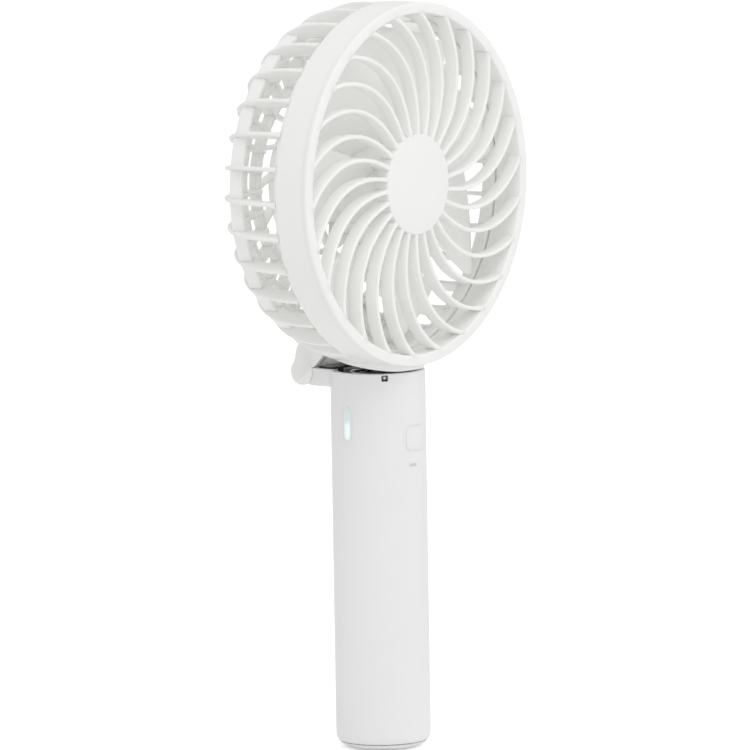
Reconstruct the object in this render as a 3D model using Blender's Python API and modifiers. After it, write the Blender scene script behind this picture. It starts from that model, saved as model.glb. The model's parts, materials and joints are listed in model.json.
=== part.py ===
"""Folding handheld electric fan, built as an assembly of separate pieces.

The frame's origin is the centre of the handle's flat bottom. +Z runs up the handle and the
head's grille faces -Y. The fold hinge lies behind the top of the handle, parallel to X.
Lengths below are in millimetres, and the helpers turn them into metres.
"""
import bpy
import bmesh
from math import asin, cos, pi, radians, sin, sqrt, tan
from mathutils import Matrix, Vector

MM = 0.001

# Handle
HANDLE_RADIUS = 13.76
HANDLE_BORE = 12.1
HANDLE_TOP = 110.0
BOTTOM_ROUNDING = 4.1
CAP_SEAM = 1.7          # height of the seam between the bottom cap and the casing
SEAM_GAP = 0.3

# Head
HEAD_RADIUS = 52.5
HEAD_Z = 164.4
FRONT_Y = -16.0
BAND_REAR_Y = -4.7
LIP_INNER_RADIUS = 49.3
SKIRT_RADIUS = 50.5
FIN_COUNT = 26
FIN_START = 142.5       # degrees, counter-clockwise from +X seen from the front
FIN_SWEEP = 27.0
FIN_POWER = 1.85
FIN_THICKNESS = 1.1
HUB_RADIUS = 14.5

# Rear cage
RIB_COUNT = 32
RIB_START = 92.3
RIB_THICKNESS = 1.1
RIB_DEPTH = 4.5
DOME_RADIUS = 52.4      # radius of the ribs' outer edges beside the band
DOME_START_Y = 0.3      # where the ribs start to curve inward
DOME_CORNER_R = 14.0    # radial size of the curved corner
DOME_CORNER_Y = 22.0    # its size along Y
MID_RING_RADIUS = 30.0
REAR_RINGS = ((21.4, 21.9, 3.0), (36.2, 21.9, 3.4), (40.6, 19.6, 2.8))   # radius, back, depth
CUP_RADIUS = 12.4
CUP_BORE = 10.9
SADDLE_HALF_ANGLE = 24.0
FOOT_RADIUS = 13.6      # the wedge between the head and the handle's rim
FOOT_Z = 110.55
FOOT_TILT = 9.9         # degrees, rising towards the hinge

# Fold hinge
HINGE_Y = 20.3
HINGE_Z = 109.0
KNUCKLE_RADIUS = 3.9
HINGE_HALF_WIDTH = 10.0
TONGUE_HALF_WIDTH = 6.2
PIN_RADIUS = 1.5

# Motor and impeller
MOTOR_RADIUS = 10.6
MOTOR_FRONT_Y = -3.0
MOTOR_REAR_Y = 12.5
SHAFT_RADIUS = 1.0
IMPELLER_RADIUS = 44.6
BLADE_COUNT = 7
BLADE_START = 22.0      # degrees, middle of the first blade at its root
BLADE_FRONT_Y = -9.6

# Button, light and port
BUTTON_Z = 90.8
BUTTON_WIDTH = 8.2
BUTTON_HEIGHT = 7.0
LIGHT_ANGLE = -94.0     # degrees from the front, towards -X
LIGHT_Z = 95.2
INDICATOR_X = -1.6
INDICATOR_Z = 83.1
PORT_Z = 86.0
CLIP_PIVOT_Y = -9.2
CLIP_Z = 109.3
NOTCH_Z = 108.75

# Turning a local frame so that its Z runs along the named axis
FRAMES = {
    "Z": Matrix.Identity(4),
    "X": Matrix(((0, 0, 1, 0), (1, 0, 0, 0), (0, 1, 0, 0), (0, 0, 0, 1))),
    "Y": Matrix(((0, 1, 0, 0), (0, 0, 1, 0), (1, 0, 0, 0), (0, 0, 0, 1))),
}


# ---------------------------------------------------------------- scene and materials

def clear_scene():
    """Remove every object, so that the script can run twice."""
    for old in list(bpy.data.objects):
        bpy.data.objects.remove(old, do_unlink=True)


def new_collection(name):
    """Make a collection under the scene, replacing one left by an earlier run."""
    if name in bpy.data.collections:
        bpy.data.collections.remove(bpy.data.collections[name])
    group = bpy.data.collections.new(name)
    bpy.context.scene.collection.children.link(group)
    return group


def coat(name, colour, roughness, metallic=0.0, glow=0.0):
    """A Principled material of one colour."""
    made = bpy.data.materials.new(name)
    made.use_nodes = True
    shader = made.node_tree.nodes["Principled BSDF"]
    shader.inputs["Base Color"].default_value = (*colour, 1.0)
    shader.inputs["Roughness"].default_value = roughness
    shader.inputs["Metallic"].default_value = metallic
    if glow:
        shader.inputs["Emission Color"].default_value = (*colour, 1.0)
        shader.inputs["Emission Strength"].default_value = glow
    return made


clear_scene()
PARTS = new_collection("handheld_fan")
CUTTERS = new_collection("cutters")

WHITE = coat("white_plastic", (0.88, 0.88, 0.87), 0.28)
HEAD_WHITE = coat("head_plastic", (0.89, 0.89, 0.86), 0.30)
CLEAR_WHITE = coat("impeller_plastic", (0.90, 0.90, 0.88), 0.25)
BLACK = coat("black_plastic", (0.02, 0.02, 0.02), 0.45)
CHASSIS = coat("chassis_plastic", (0.30, 0.30, 0.31), 0.55)
STEEL = coat("steel", (0.60, 0.60, 0.61), 0.25, 1.0)
ZINC = coat("zinc_steel", (0.70, 0.70, 0.70), 0.35, 1.0)
COPPER = coat("copper", (0.80, 0.42, 0.22), 0.30, 1.0)
BRASS = coat("brass", (0.80, 0.62, 0.30), 0.30, 1.0)
NICKEL = coat("nickel", (0.75, 0.72, 0.66), 0.30, 1.0)
FERRITE = coat("ferrite", (0.08, 0.08, 0.09), 0.80)
CARBON = coat("carbon", (0.05, 0.05, 0.05), 0.70)
BOARD = coat("board_green", (0.05, 0.25, 0.12), 0.45)
SLEEVE = coat("cell_sleeve", (0.10, 0.30, 0.60), 0.35)
RED_WIRE = coat("red_wire", (0.60, 0.04, 0.03), 0.50)
BLACK_WIRE = coat("black_wire", (0.03, 0.03, 0.03), 0.50)
WHITE_WIRE = coat("white_wire", (0.80, 0.80, 0.78), 0.50)
NYLON = coat("nylon", (0.80, 0.79, 0.74), 0.50)
TEAL = coat("teal_light", (0.45, 0.90, 0.85), 0.20, 0.0, 1.0)
SMOKE = coat("smoke_window", (0.45, 0.46, 0.46), 0.20)


# ---------------------------------------------------------------- modelling helpers

def place(name, mesh, material):
    """Add a mesh as a piece, or as a hidden cutter when it has no material."""
    piece = bpy.data.objects.new(name, mesh)
    if material:
        PARTS.objects.link(piece)
        mesh.materials.append(material)
    else:
        CUTTERS.objects.link(piece)
        piece.hide_render = True
        piece.display_type = "WIRE"
    if mesh.polygons:
        mesh.shade_smooth()
        mesh.set_sharp_from_angle(angle=radians(35))
    return piece


def turned(name, profile, material, steps=24, axis="Z", centre=(0, 0, 0), ring=False):
    """Turn a profile of (radius, height) about an axis; the height is measured along it."""
    mesh = bpy.data.meshes.new(name)
    count = len(profile)
    edges = [(i, (i + 1) % count) for i in range(count if ring else count - 1)]
    mesh.from_pydata([(r * MM, 0, h * MM) for r, h in profile], edges, [])
    piece = place(name, mesh, material)
    piece.matrix_world = Matrix.Translation(Vector(centre) * MM) @ FRAMES[axis]
    screw = piece.modifiers.new("turn", "SCREW")
    screw.steps = steps
    screw.render_steps = steps
    screw.use_merge_vertices = True
    screw.merge_threshold = 0.000001
    return piece


def rod(name, radius, low, high, material, steps=24, axis="Z", centre=(0, 0, 0)):
    """A solid cylinder between two heights on an axis."""
    profile = [(0, high), (radius, high), (radius, low), (0, low)]
    return turned(name, profile, material, steps, axis, centre)


def hoop(name, outer, inner, low, high, material, steps=24, axis="Z", centre=(0, 0, 0)):
    """A plain ring between two heights on an axis."""
    profile = [(outer, high), (outer, low), (inner, low), (inner, high)]
    return turned(name, profile, material, steps, axis, centre, ring=True)


def box(name, low, high, material=None):
    """A box between two corners, with its origin at its centre."""
    low, high = Vector(low), Vector(high)
    form = bmesh.new()
    bmesh.ops.create_cube(form, size=1.0)
    bmesh.ops.scale(form, vec=(high - low) * MM, verts=form.verts)
    mesh = bpy.data.meshes.new(name)
    form.to_mesh(mesh)
    form.free()
    piece = place(name, mesh, material)
    piece.location = (low + high) / 2 * MM
    return piece


def solid_from_curve(guide, name, material):
    """Turn a filled curve into a closed mesh piece, and remove the curve."""
    bpy.context.view_layer.update()
    shape = guide.evaluated_get(bpy.context.evaluated_depsgraph_get())
    mesh = bpy.data.meshes.new_from_object(shape)
    form = bmesh.new()
    form.from_mesh(mesh)
    bmesh.ops.remove_doubles(form, verts=form.verts, dist=0.0000005)
    bmesh.ops.recalc_face_normals(form, faces=form.faces)
    form.to_mesh(mesh)
    form.free()
    mesh.materials.clear()
    piece = place(name, mesh, material)
    piece.matrix_world = guide.matrix_world.copy()
    bpy.data.objects.remove(guide, do_unlink=True)
    return piece


def plate(name, outlines, low, high, material, axis="Z", turn=0.0):
    """Extrude flat outlines between two heights along an axis; a second outline is a hole.

    Outlines are (x, y) for axis Z, (y, z) for X and (z, x) for Y. turn swings the plate
    about the world Z axis, in degrees.
    """
    curve = bpy.data.curves.new(name, "CURVE")
    curve.dimensions = "2D"
    curve.fill_mode = "BOTH"
    curve.extrude = (high - low) / 2 * MM
    for outline in outlines:
        spline = curve.splines.new("POLY")
        spline.points.add(len(outline) - 1)
        for point, (u, v) in zip(spline.points, outline):
            point.co = (u * MM, v * MM, 0, 1)
        spline.use_cyclic_u = True
    guide = bpy.data.objects.new(name + "_outline", curve)
    bpy.context.scene.collection.objects.link(guide)
    lift = Matrix.Translation((0, 0, (low + high) / 2 * MM))
    guide.matrix_world = Matrix.Rotation(radians(turn), 4, "Z") @ FRAMES[axis] @ lift
    return solid_from_curve(guide, name, material)


def wire(name, points, radius, material):
    """A round wire along a path of points."""
    curve = bpy.data.curves.new(name, "CURVE")
    curve.dimensions = "3D"
    curve.bevel_depth = radius * MM
    curve.bevel_resolution = 2
    curve.use_fill_caps = True
    spline = curve.splines.new("POLY")
    spline.points.add(len(points) - 1)
    for point, place_at in zip(spline.points, points):
        point.co = (*[value * MM for value in place_at], 1)
    guide = bpy.data.objects.new(name + "_path", curve)
    bpy.context.scene.collection.objects.link(guide)
    return solid_from_curve(guide, name, material)


def strips(name, ladders, thickness, material):
    """Plates from ladders of point pairs: each ladder is one open ribbon, made solid."""
    form = bmesh.new()
    for ladder in ladders:
        rungs = [[form.verts.new(Vector(p) * MM) for p in pair] for pair in ladder]
        for (a, b), (c, d) in zip(rungs[:-1], rungs[1:]):
            form.faces.new((a, b, d, c))
    mesh = bpy.data.meshes.new(name)
    form.to_mesh(mesh)
    form.free()
    piece = place(name, mesh, material)
    thicken(piece, thickness, 0.0)
    return piece


def thicken(piece, thickness, offset):
    """Make an open surface a closed shell."""
    solidify = piece.modifiers.new("thickness", "SOLIDIFY")
    solidify.thickness = thickness * MM
    solidify.offset = offset
    solidify.use_even_offset = True


def combine(piece, other, operation):
    """Add an exact Boolean with another object."""
    boolean = piece.modifiers.new(operation.lower(), "BOOLEAN")
    boolean.operation = operation
    boolean.solver = "EXACT"
    boolean.object = other


def join(piece, *others):
    """Unite hidden bodies with a piece."""
    for other in others:
        combine(piece, other, "UNION")


def cut(piece, *others):
    """Cut hidden bodies out of a piece."""
    for other in others:
        combine(piece, other, "DIFFERENCE")


def arc(centre_u, centre_v, radius, start, end, steps):
    """Points on a circular arc, both ends included, angles in degrees."""
    angles = [radians(start + (end - start) * i / steps) for i in range(steps + 1)]
    return [(centre_u + radius * cos(a), centre_v + radius * sin(a)) for a in angles]


def rounded_rectangle(centre_u, centre_v, width, height, corner, steps=4):
    """Outline of a rectangle with round corners."""
    points = []
    for quarter in range(4):
        side_u = 1 if quarter in (0, 3) else -1
        side_v = 1 if quarter in (0, 1) else -1
        u = centre_u + side_u * (width / 2 - corner)
        v = centre_v + side_v * (height / 2 - corner)
        points += arc(u, v, corner, 90 * quarter, 90 * quarter + 90, steps)
    return points


def sector(outer, inner, start, end, steps):
    """Outline of a piece of a flat ring."""
    return arc(0, 0, outer, start, end, steps) + arc(0, 0, inner, end, start, steps)


def smooth_path(knots, per_span=6):
    """A Catmull-Rom path through the knots."""
    padded = [knots[0]] + list(knots) + [knots[-1]]
    path = []
    for i in range(1, len(padded) - 2):
        p0, p1, p2, p3 = (Vector(p) for p in padded[i - 1:i + 3])
        for k in range(per_span):
            t = k / per_span
            path.append(0.5 * (2 * p1 + (p2 - p0) * t + (2 * p0 - 5 * p1 + 4 * p2 - p3) * t ** 2
                               + (3 * p1 - p0 - 3 * p2 + p3) * t ** 3))
    path.append(Vector(knots[-1]))
    return path


def on_head(radius, degrees, y):
    """A point of the head: radius and angle about its axis, seen from the front, and y."""
    angle = radians(degrees)
    return (radius * cos(angle), y, HEAD_Z + radius * sin(angle))


# ---------------------------------------------------------------- handle

def casing_radius(height):
    """Outer radius of the handle's rounded bottom at a height."""
    drop = max(BOTTOM_ROUNDING - height, 0.0)
    return HANDLE_RADIUS - BOTTOM_ROUNDING + sqrt(BOTTOM_ROUNDING ** 2 - drop ** 2)


def handle_tube():
    low = CAP_SEAM + SEAM_GAP / 2
    profile = [(HANDLE_RADIUS, HANDLE_TOP)]
    profile += [(casing_radius(z), z) for z in (BOTTOM_ROUNDING, 3.2, 2.4, low)]
    profile += [(HANDLE_BORE, low), (HANDLE_BORE, HANDLE_TOP)]
    tube = turned("handle_tube", profile, WHITE, steps=56, ring=True)
    for side, sign in (("left", -1), ("right", 1)):
        boss = rod("boss_" + side, 3.0, 98.0, 104.0, None, 16, centre=(6.6 * sign, -6.6, 0))
        pilot = rod("pilot_" + side, 0.9, 97.0, 105.0, None, 12, centre=(6.6 * sign, -6.6, 0))
        join(tube, boss)
        cut(tube, pilot)
        opening = rounded_rectangle(NOTCH_Z, 0, 2.0, 2.2, 0.2, 1)
        notch = plate("notch_" + side, [opening], -15.0, -9.0, None, "Y", 44.0 * sign)
        cut(tube, notch)
    opening = rounded_rectangle(BUTTON_Z, 0, BUTTON_HEIGHT + 0.4, BUTTON_WIDTH + 0.4, 1.7)
    cut(tube, plate("button_window", [opening], -15.0, -9.0, None, axis="Y"))
    cut(tube, lens_prism("light_window", 0.15, None))
    slot = rounded_rectangle(INDICATOR_Z, INDICATOR_X, 0.9, 3.0, 0.4, 2)
    cut(tube, plate("indicator_window", [slot], -15.0, -9.0, None, axis="Y"))
    mouth = rounded_rectangle(PORT_Z, 0, 3.4, 8.3, 1.2, 3)
    cut(tube, plate("port_window", [mouth], 9.0, 15.0, None, axis="Y"))
    cut(tube, box("arm_slot", (-10.25, 3.0, 104.9), (10.25, 20.0, 112.0)))
    return tube


def lens_prism(name, clearance, material):
    """The light's slot-shaped prism, through the casing's wall."""
    width = 3.0 + 2 * clearance
    height = 10.0 + 2 * clearance
    outline = rounded_rectangle(LIGHT_Z, 0, height, width, width / 2 - 0.01, 5)
    return plate(name, [outline], -14.6, -11.2 + clearance, material, axis="Y", turn=LIGHT_ANGLE)


def bottom_cap():
    high = CAP_SEAM - SEAM_GAP / 2
    plug = HANDLE_BORE - 0.3
    profile = [(0, 4.6), (plug, 4.6), (plug, high)]
    profile += [(casing_radius(z), z) for z in (high, 0.8, 0.3, 0.0)]
    profile += [(0, 0)]
    return turned("bottom_cap", profile, WHITE, steps=56)


def hinge_block():
    plug = rod("hinge_block", HANDLE_BORE - 0.3, 104.3, 106.6, WHITE, 48)
    side_view = [(8.5, 105.2), (17.0, 105.2), (17.8, 106.2), (17.8, 110.3), (8.5, 110.3)]
    arm = plate("arm", [side_view], -HINGE_HALF_WIDTH, HINGE_HALF_WIDTH, None, axis="X")
    outline = [(14.5, 109.9), (14.5, 105.7)]
    outline += arc(HINGE_Y, HINGE_Z, KNUCKLE_RADIUS, -122.2, 166.5, 20)
    tongue = plate("tongue", [outline], -TONGUE_HALF_WIDTH, TONGUE_HALF_WIDTH, None, axis="X")
    join(plug, arm, tongue)
    cut(plug, rod("tongue_bore", PIN_RADIUS + 0.08, -12, 12, None, 24, "X", (0, HINGE_Y, HINGE_Z)))
    for side, sign in (("left", -1), ("right", 1)):
        inner, outer = sorted((sign * (TONGUE_HALF_WIDTH + 0.05), sign * 12.0))
        relief = rod("ear_relief_" + side, KNUCKLE_RADIUS + 0.35, inner, outer, None, 32, "X",
                     (0, HINGE_Y, HINGE_Z))
        cut(plug, relief)
        profile = [(0, 107.5), (2.0, 107.5), (2.0, 105.4), (1.05, 105.4), (1.05, 103.0), (0, 103.0)]
        cut(plug, turned("screw_seat_" + side, profile, None, 16, centre=(6.6 * sign, -6.6, 0)))
    return plug


def block_screw(side, sign):
    profile = [(0, 106.4), (1.7, 106.4), (1.7, 105.5), (0.8, 105.5), (0.8, 99.0), (0, 99.0)]
    return turned("block_screw_" + side, profile, ZINC, 16, centre=(6.6 * sign, -6.6, 0))


def top_plate():
    """Black plate that closes the handle's top and steps up to cover the hinge arm."""
    radius = HANDLE_BORE - 0.3
    corner = asin(8.2 / radius) * 180 / pi
    edge = arc(0, 0, radius, 180 - corner, 360 + corner, 32)
    cover = plate("top_plate", [edge], 106.9, 108.2, BLACK)
    join(cover, box("arm_cover", (-9.4, 8.7, 110.4), (9.4, 14.6, 110.9)))
    for side, sign in (("left", -1), ("right", 1)):
        near, far = sorted((sign * 6.0, sign * 8.1))
        join(cover, box("riser_" + side, (near, 7.8, 107.5), (far, 8.3, 110.9)))
        join(cover, box("step_" + side, (near, 8.0, 110.4), (far, 9.5, 110.9)))
    return cover


def hanging_clip():
    """Bent wire loop lying on the top plate, its ends hooked into the casing's notches."""
    reach, low = 8.2, CLIP_Z - 0.4
    half = [(-9.15, -9.45, low), (-8.5, -8.8, low), (-7.8, -8.0, low + 0.05)]
    half += [(-7.75, -6.9, low + 0.15), (-reach, -4.5, CLIP_Z)]
    bow = [(u, v, CLIP_Z) for u, v in arc(0, -0.4, reach, 180, 0, 16)]
    path = half + bow + [(-x, y, z) for x, y, z in reversed(half)]
    return wire("hanging_clip", path, 0.6, STEEL)


def inner_chassis():
    trough = plate("inner_chassis", [sector(11.4, 10.0, 20, 160, 14)], 6.0, 74.2, CHASSIS)
    bulkhead = rod("bulkhead", 11.7, 72.9, 74.4, None, 32)
    cut(bulkhead, box("lead_gap", (-13, -13, 70), (13, -7.5, 76)))
    join(trough, bulkhead)
    return trough


def battery_cell():
    profile = [(0, 71.5), (3.0, 71.5), (3.0, 70.9), (8.4, 70.9), (9.2, 70.1), (9.2, 6.9), (8.7, 6.4)]
    profile += [(0, 6.4)]
    return turned("battery_cell", profile, SLEEVE, 32)


def cell_tab(name, z):
    outline = rounded_rectangle(0, -4.4, 4.0, 11.6, 0.5, 2)
    return plate(name, [outline], z, z + 0.25, NICKEL)


def circuit_board():
    board = box("circuit_board", (-10.0, 1.6, 76.0), (10.0, 3.0, 97.4), BOARD)
    return board


def tact_switch():
    body = box("tact_switch", (-3.0, -1.8, BUTTON_Z - 3), (3.0, 1.3, BUTTON_Z + 3), BLACK)
    well = rod("plunger_well", 1.35, -3.0, -0.6, None, 16, "Y", (0, 0, BUTTON_Z))
    cut(body, well)
    return body


def switch_plunger():
    return rod("switch_plunger", 1.25, -3.1, -1.3, NYLON, 16, "Y", (0, 0, BUTTON_Z))


def power_button():
    """Rounded button whose face follows the casing, with a flange and a stem inside."""
    face = rounded_rectangle(BUTTON_Z, 0, BUTTON_HEIGHT, BUTTON_WIDTH, 1.5)
    button = plate("power_button", [face], -15.0, -10.3, WHITE, axis="Y")
    combine(button, rod("button_round", HANDLE_RADIUS + 0.3, 80, 102, None, 96), "INTERSECT")
    flange = rounded_rectangle(BUTTON_Z, 0, BUTTON_HEIGHT + 2.0, BUTTON_WIDTH + 1.6, 1.5)
    join(button, plate("button_flange", [flange], -10.5, -9.6, None, axis="Y"))
    join(button, rod("button_stem", 1.6, -9.9, -3.4, None, 16, "Y", (0, 0, BUTTON_Z)))
    return button


def status_led():
    return box("status_led", (-10.0, -0.4, 94.0), (-7.4, 1.3, 96.4), NYLON)


def light_lens():
    lens = lens_prism("light_lens", 0.0, TEAL)
    combine(lens, rod("lens_round", HANDLE_RADIUS, 85, 105, None, 96), "INTERSECT")
    return lens


def charge_indicator():
    outline = rounded_rectangle(INDICATOR_Z, INDICATOR_X, 0.6, 2.7, 0.28, 2)
    window = plate("charge_indicator", [outline], -14.6, -12.3, SMOKE, axis="Y")
    combine(window, rod("indicator_round", HANDLE_RADIUS, 78, 88, None, 96), "INTERSECT")
    return window


def usb_port():
    outer = rounded_rectangle(PORT_Z, 0, 2.7, 7.6, 0.9, 3)
    inner = rounded_rectangle(PORT_Z, 0, 2.0, 6.9, 0.6, 3)
    return plate("usb_port", [outer, inner], 3.3, 13.1, STEEL, axis="Y")


def usb_tongue():
    outline = rounded_rectangle(PORT_Z + 0.25, 0, 0.7, 5.0, 0.2, 1)
    return plate("usb_tongue", [outline], 4.0, 12.3, BLACK, axis="Y")


def battery_leads():
    red = [(3.0, -9.0, 72.3), (3.2, -10.0, 72.6), (3.2, -10.3, 75.5), (4.0, -6.0, 78.0),
           (4.5, -1.5, 79.0), (4.5, 1.0, 79.0)]
    black = [(-3.0, -9.4, 5.6), (-3.2, -10.4, 6.6), (-3.2, -10.5, 20.0), (-3.2, -10.5, 60.0),
             (-3.2, -10.4, 75.5), (-4.0, -6.0, 78.0), (-4.5, -1.5, 79.0), (-4.5, 1.0, 79.0)]
    wire("battery_lead_red", smooth_path(red, 3), 0.55, RED_WIRE)
    wire("battery_lead_black", smooth_path(black, 3), 0.55, BLACK_WIRE)


# ---------------------------------------------------------------- head

def fin_angle(radius, start):
    """Angle of a grille fin's centre line at a radius, in degrees."""
    share = (radius - HUB_RADIUS) / (LIP_INNER_RADIUS - HUB_RADIUS)
    return start + FIN_SWEEP * max(share, 0.0) ** FIN_POWER


def front_grille():
    """Lip ring with its skirt, swirl fins and a hub boss."""
    inner, outer, steps = HUB_RADIUS - 0.2, LIP_INNER_RADIUS + 0.4, 6
    radii = [inner + (outer - inner) * i / steps for i in range(steps + 1)]
    ladders = []
    for number in range(FIN_COUNT):
        start = FIN_START + 360 * number / FIN_COUNT
        ladders.append([(on_head(r, fin_angle(r, start), FRONT_Y + 0.1),
                         on_head(r, fin_angle(r, start), FRONT_Y + 4.4)) for r in radii])
    grille = strips("front_grille", ladders, FIN_THICKNESS, HEAD_WHITE)
    lip = [(SKIRT_RADIUS, -7.0), (SKIRT_RADIUS, FRONT_Y + 1.5), (HEAD_RADIUS, FRONT_Y + 1.5)]
    lip += [(HEAD_RADIUS, FRONT_Y + 0.5), (HEAD_RADIUS - 0.5, FRONT_Y)]
    lip += [(LIP_INNER_RADIUS, FRONT_Y), (LIP_INNER_RADIUS, -7.0)]
    head = (0, 0, HEAD_Z)
    join(grille, turned("lip", lip, None, 64, "Y", head, ring=True))
    join(grille, hoop("hub_boss", HUB_RADIUS + 0.1, 12.6, FRONT_Y + 1.4, FRONT_Y + 4.7, None, 32,
                      "Y", head))
    return grille


def hub_cap():
    edge = HUB_RADIUS - 0.5
    profile = [(0, FRONT_Y + 1.1), (edge, FRONT_Y + 1.1), (edge, FRONT_Y + 0.3)]
    profile += [(edge - 0.3, FRONT_Y), (0, FRONT_Y)]
    return turned("hub_cap", profile, HEAD_WHITE, 36, "Y", (0, 0, HEAD_Z))


def head_band():
    profile = [(HEAD_RADIUS, BAND_REAR_Y - 0.4), (HEAD_RADIUS, FRONT_Y + 1.8)]
    profile += [(SKIRT_RADIUS + 0.3, FRONT_Y + 1.8), (SKIRT_RADIUS + 0.3, BAND_REAR_Y)]
    profile += [(HEAD_RADIUS - 0.4, BAND_REAR_Y)]
    band = turned("head_band", profile, HEAD_WHITE, 72, "Y", (0, 0, HEAD_Z), ring=True)
    join(band, foot("band", -20.0, BAND_REAR_Y - 0.02))
    return band


def foot(name, front, rear):
    """Part of the wedge under the head that closes over the front of the handle's rim."""
    body = rod("foot_" + name, FOOT_RADIUS, FOOT_Z, 114.5, None, 48)
    slope = tan(radians(FOOT_TILT))
    under = [(-20.0, FOOT_Z - 5.0), (20.0, FOOT_Z - 5.0), (20.0, FOOT_Z + 31.8 * slope),
             (-11.8, FOOT_Z), (-20.0, FOOT_Z - 1.0)]
    cut(body, plate("foot_slope_" + name, [under], -20, 20, None, axis="X"))
    cut(body, rod("foot_hollow_" + name, SKIRT_RADIUS + 0.9, -30, 30, None, 72, "Y", (0, 0, HEAD_Z)))
    combine(body, box("foot_span_" + name, (-20, front, 105), (20, rear, 120)), "INTERSECT")
    return body


def dome_profile(inset, steps):
    """(radius, y) along the ribs' curved edge, from the band to the mid ring."""
    centre_r = DOME_RADIUS - DOME_CORNER_R
    points = [(DOME_RADIUS - inset, BAND_REAR_Y + 0.3)]
    for i in range(steps + 1):
        angle = pi / 2 * i / steps
        points.append((centre_r + (DOME_CORNER_R - inset) * cos(angle),
                       DOME_START_Y + (DOME_CORNER_Y - inset) * sin(angle)))
    return points


def rib_ladder(angle):
    """Point pairs of one radial rib, from the band to the mid ring on the back."""
    outer = dome_profile(0.0, 4)
    inner = dome_profile(RIB_DEPTH, 4)
    outer.append((MID_RING_RADIUS - 0.6, outer[-1][1]))
    inner.append((MID_RING_RADIUS - 0.6, inner[-1][1]))
    return [(on_head(ra, angle, ya), on_head(rb, angle, yb))
            for (ra, ya), (rb, yb) in zip(outer, inner)]


def swirl_ladder(angle):
    """Point pairs of one curved rib, from the mid ring to the motor cup."""
    rear = DOME_START_Y + DOME_CORNER_Y
    start, end, steps = MID_RING_RADIUS - 1.0, CUP_RADIUS - 0.5, 3
    pairs = []
    for i in range(steps + 1):
        radius = start + (end - start) * i / steps
        turn = angle - 26.0 * (i / steps) ** 1.4
        pairs.append((on_head(radius, turn, rear - 0.2), on_head(radius, turn, rear - 3.0)))
    return pairs


def saddle():
    """Solid skin over the cage's lowest ribs, which carries the hinge ears."""
    form = bmesh.new()
    steps = 8
    rows = []
    profile = dome_profile(-0.25, 5)
    profile[0] = (profile[0][0], BAND_REAR_Y + 0.6)
    for radius, y in profile:
        angles = [-90 + SADDLE_HALF_ANGLE * (2 * k / steps - 1) for k in range(steps + 1)]
        rows.append([form.verts.new(Vector(on_head(radius, a, y)) * MM) for a in angles])
    for low, high in zip(rows[:-1], rows[1:]):
        for k in range(steps):
            form.faces.new((low[k], low[k + 1], high[k + 1], high[k]))
    bmesh.ops.recalc_face_normals(form, faces=form.faces)
    mesh = bpy.data.meshes.new("saddle")
    form.to_mesh(mesh)
    form.free()
    skin = place("saddle", mesh, None)
    thicken(skin, 3.0, saddle_side(skin))
    return skin


def saddle_side(skin):
    """Solidify offset that thickens the skin towards the head's axis."""
    face = skin.data.polygons[0]
    outward = face.center - Vector((0, face.center.y, HEAD_Z * MM))
    return -1.0 if face.normal.dot(outward) > 0 else 1.0


def ear(side, sign):
    """Hinge ear: a barrel on the hinge axis and the neck up to the saddle."""
    near = TONGUE_HALF_WIDTH + 0.6
    low, high = sorted((sign * near, sign * HINGE_HALF_WIDTH))
    outline = [(15.7, 110.7), (12.4, 113.9), (12.4, 118.0), (19.0, 120.5), (21.8, 115.0)]
    outline += arc(HINGE_Y, HINGE_Z, KNUCKLE_RADIUS, 15, -206, 16)
    return plate("ear_" + side, [outline], low, high, None, axis="X")


def rear_cage():
    head = (0, 0, HEAD_Z)
    rear = DOME_START_Y + DOME_CORNER_Y
    ribs = [rib_ladder(RIB_START + 360 * i / RIB_COUNT) for i in range(RIB_COUNT)]
    cage = strips("rear_cage", ribs, RIB_THICKNESS, HEAD_WHITE)
    swirl = [swirl_ladder(360 * i / 16) for i in range(16)]
    join(cage, hoop("flange", SKIRT_RADIUS + 0.1, 48.4, -6.6, -2.6, None, 48, "Y", head))
    join(cage, hoop("side_hoop", 48.2, 46.8, 11.0, 15.4, None, 48, "Y", head))
    join(cage, hoop("mid_ring", MID_RING_RADIUS + 0.6, MID_RING_RADIUS - 1.4, rear - 3.5,
                    rear - 0.3, None, 32, "Y", head))
    for radius, back, depth in REAR_RINGS:
        join(cage, hoop("ring_%d" % radius, radius + 0.7, radius - 0.7, back - depth, back, None,
                        RIB_COUNT, "Y", head))
    join(cage, strips("swirl_ribs", swirl, 1.2, None))
    cup = [(CUP_RADIUS, rear - 0.1), (CUP_RADIUS, 5.6), (CUP_BORE, 5.6), (CUP_BORE, 17.0)]
    cup += [(2.2, 17.0), (2.2, 18.6), (CUP_BORE, 18.6), (CUP_BORE, rear - 0.1)]
    join(cage, turned("motor_cup", cup, None, 28, "Y", head, ring=True))
    join(cage, saddle())
    join(cage, foot("cage", BAND_REAR_Y + 0.62, 8.0))
    for side, sign in (("left", -1), ("right", 1)):
        join(cage, ear(side, sign))
        cut(cage, rod("motor_hole_" + side, 1.0, 16.0, 20.0, None, 12, "Y",
                      (5.6 * sign, 0, HEAD_Z)))
    bore = rod("ear_bore", PIN_RADIUS + 0.08, -9.0, 12.0, None, 24, "X", (0, HINGE_Y, HINGE_Z))
    cut(cage, bore)
    cut(cage, box("lead_slot", (-2.2, 14.7, HEAD_Z - 14), (2.2, 16.6, HEAD_Z - 9)))
    return cage


def rear_cap():
    rear = DOME_START_Y + DOME_CORNER_Y
    edge = CUP_BORE - 0.3
    profile = [(0, rear), (edge - 0.5, rear), (edge, rear - 0.4), (edge, rear - 1.7), (0, rear - 1.7)]
    return turned("rear_cap", profile, HEAD_WHITE, 40, "Y", (0, 0, HEAD_Z))


# ---------------------------------------------------------------- hinge hardware

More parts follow.
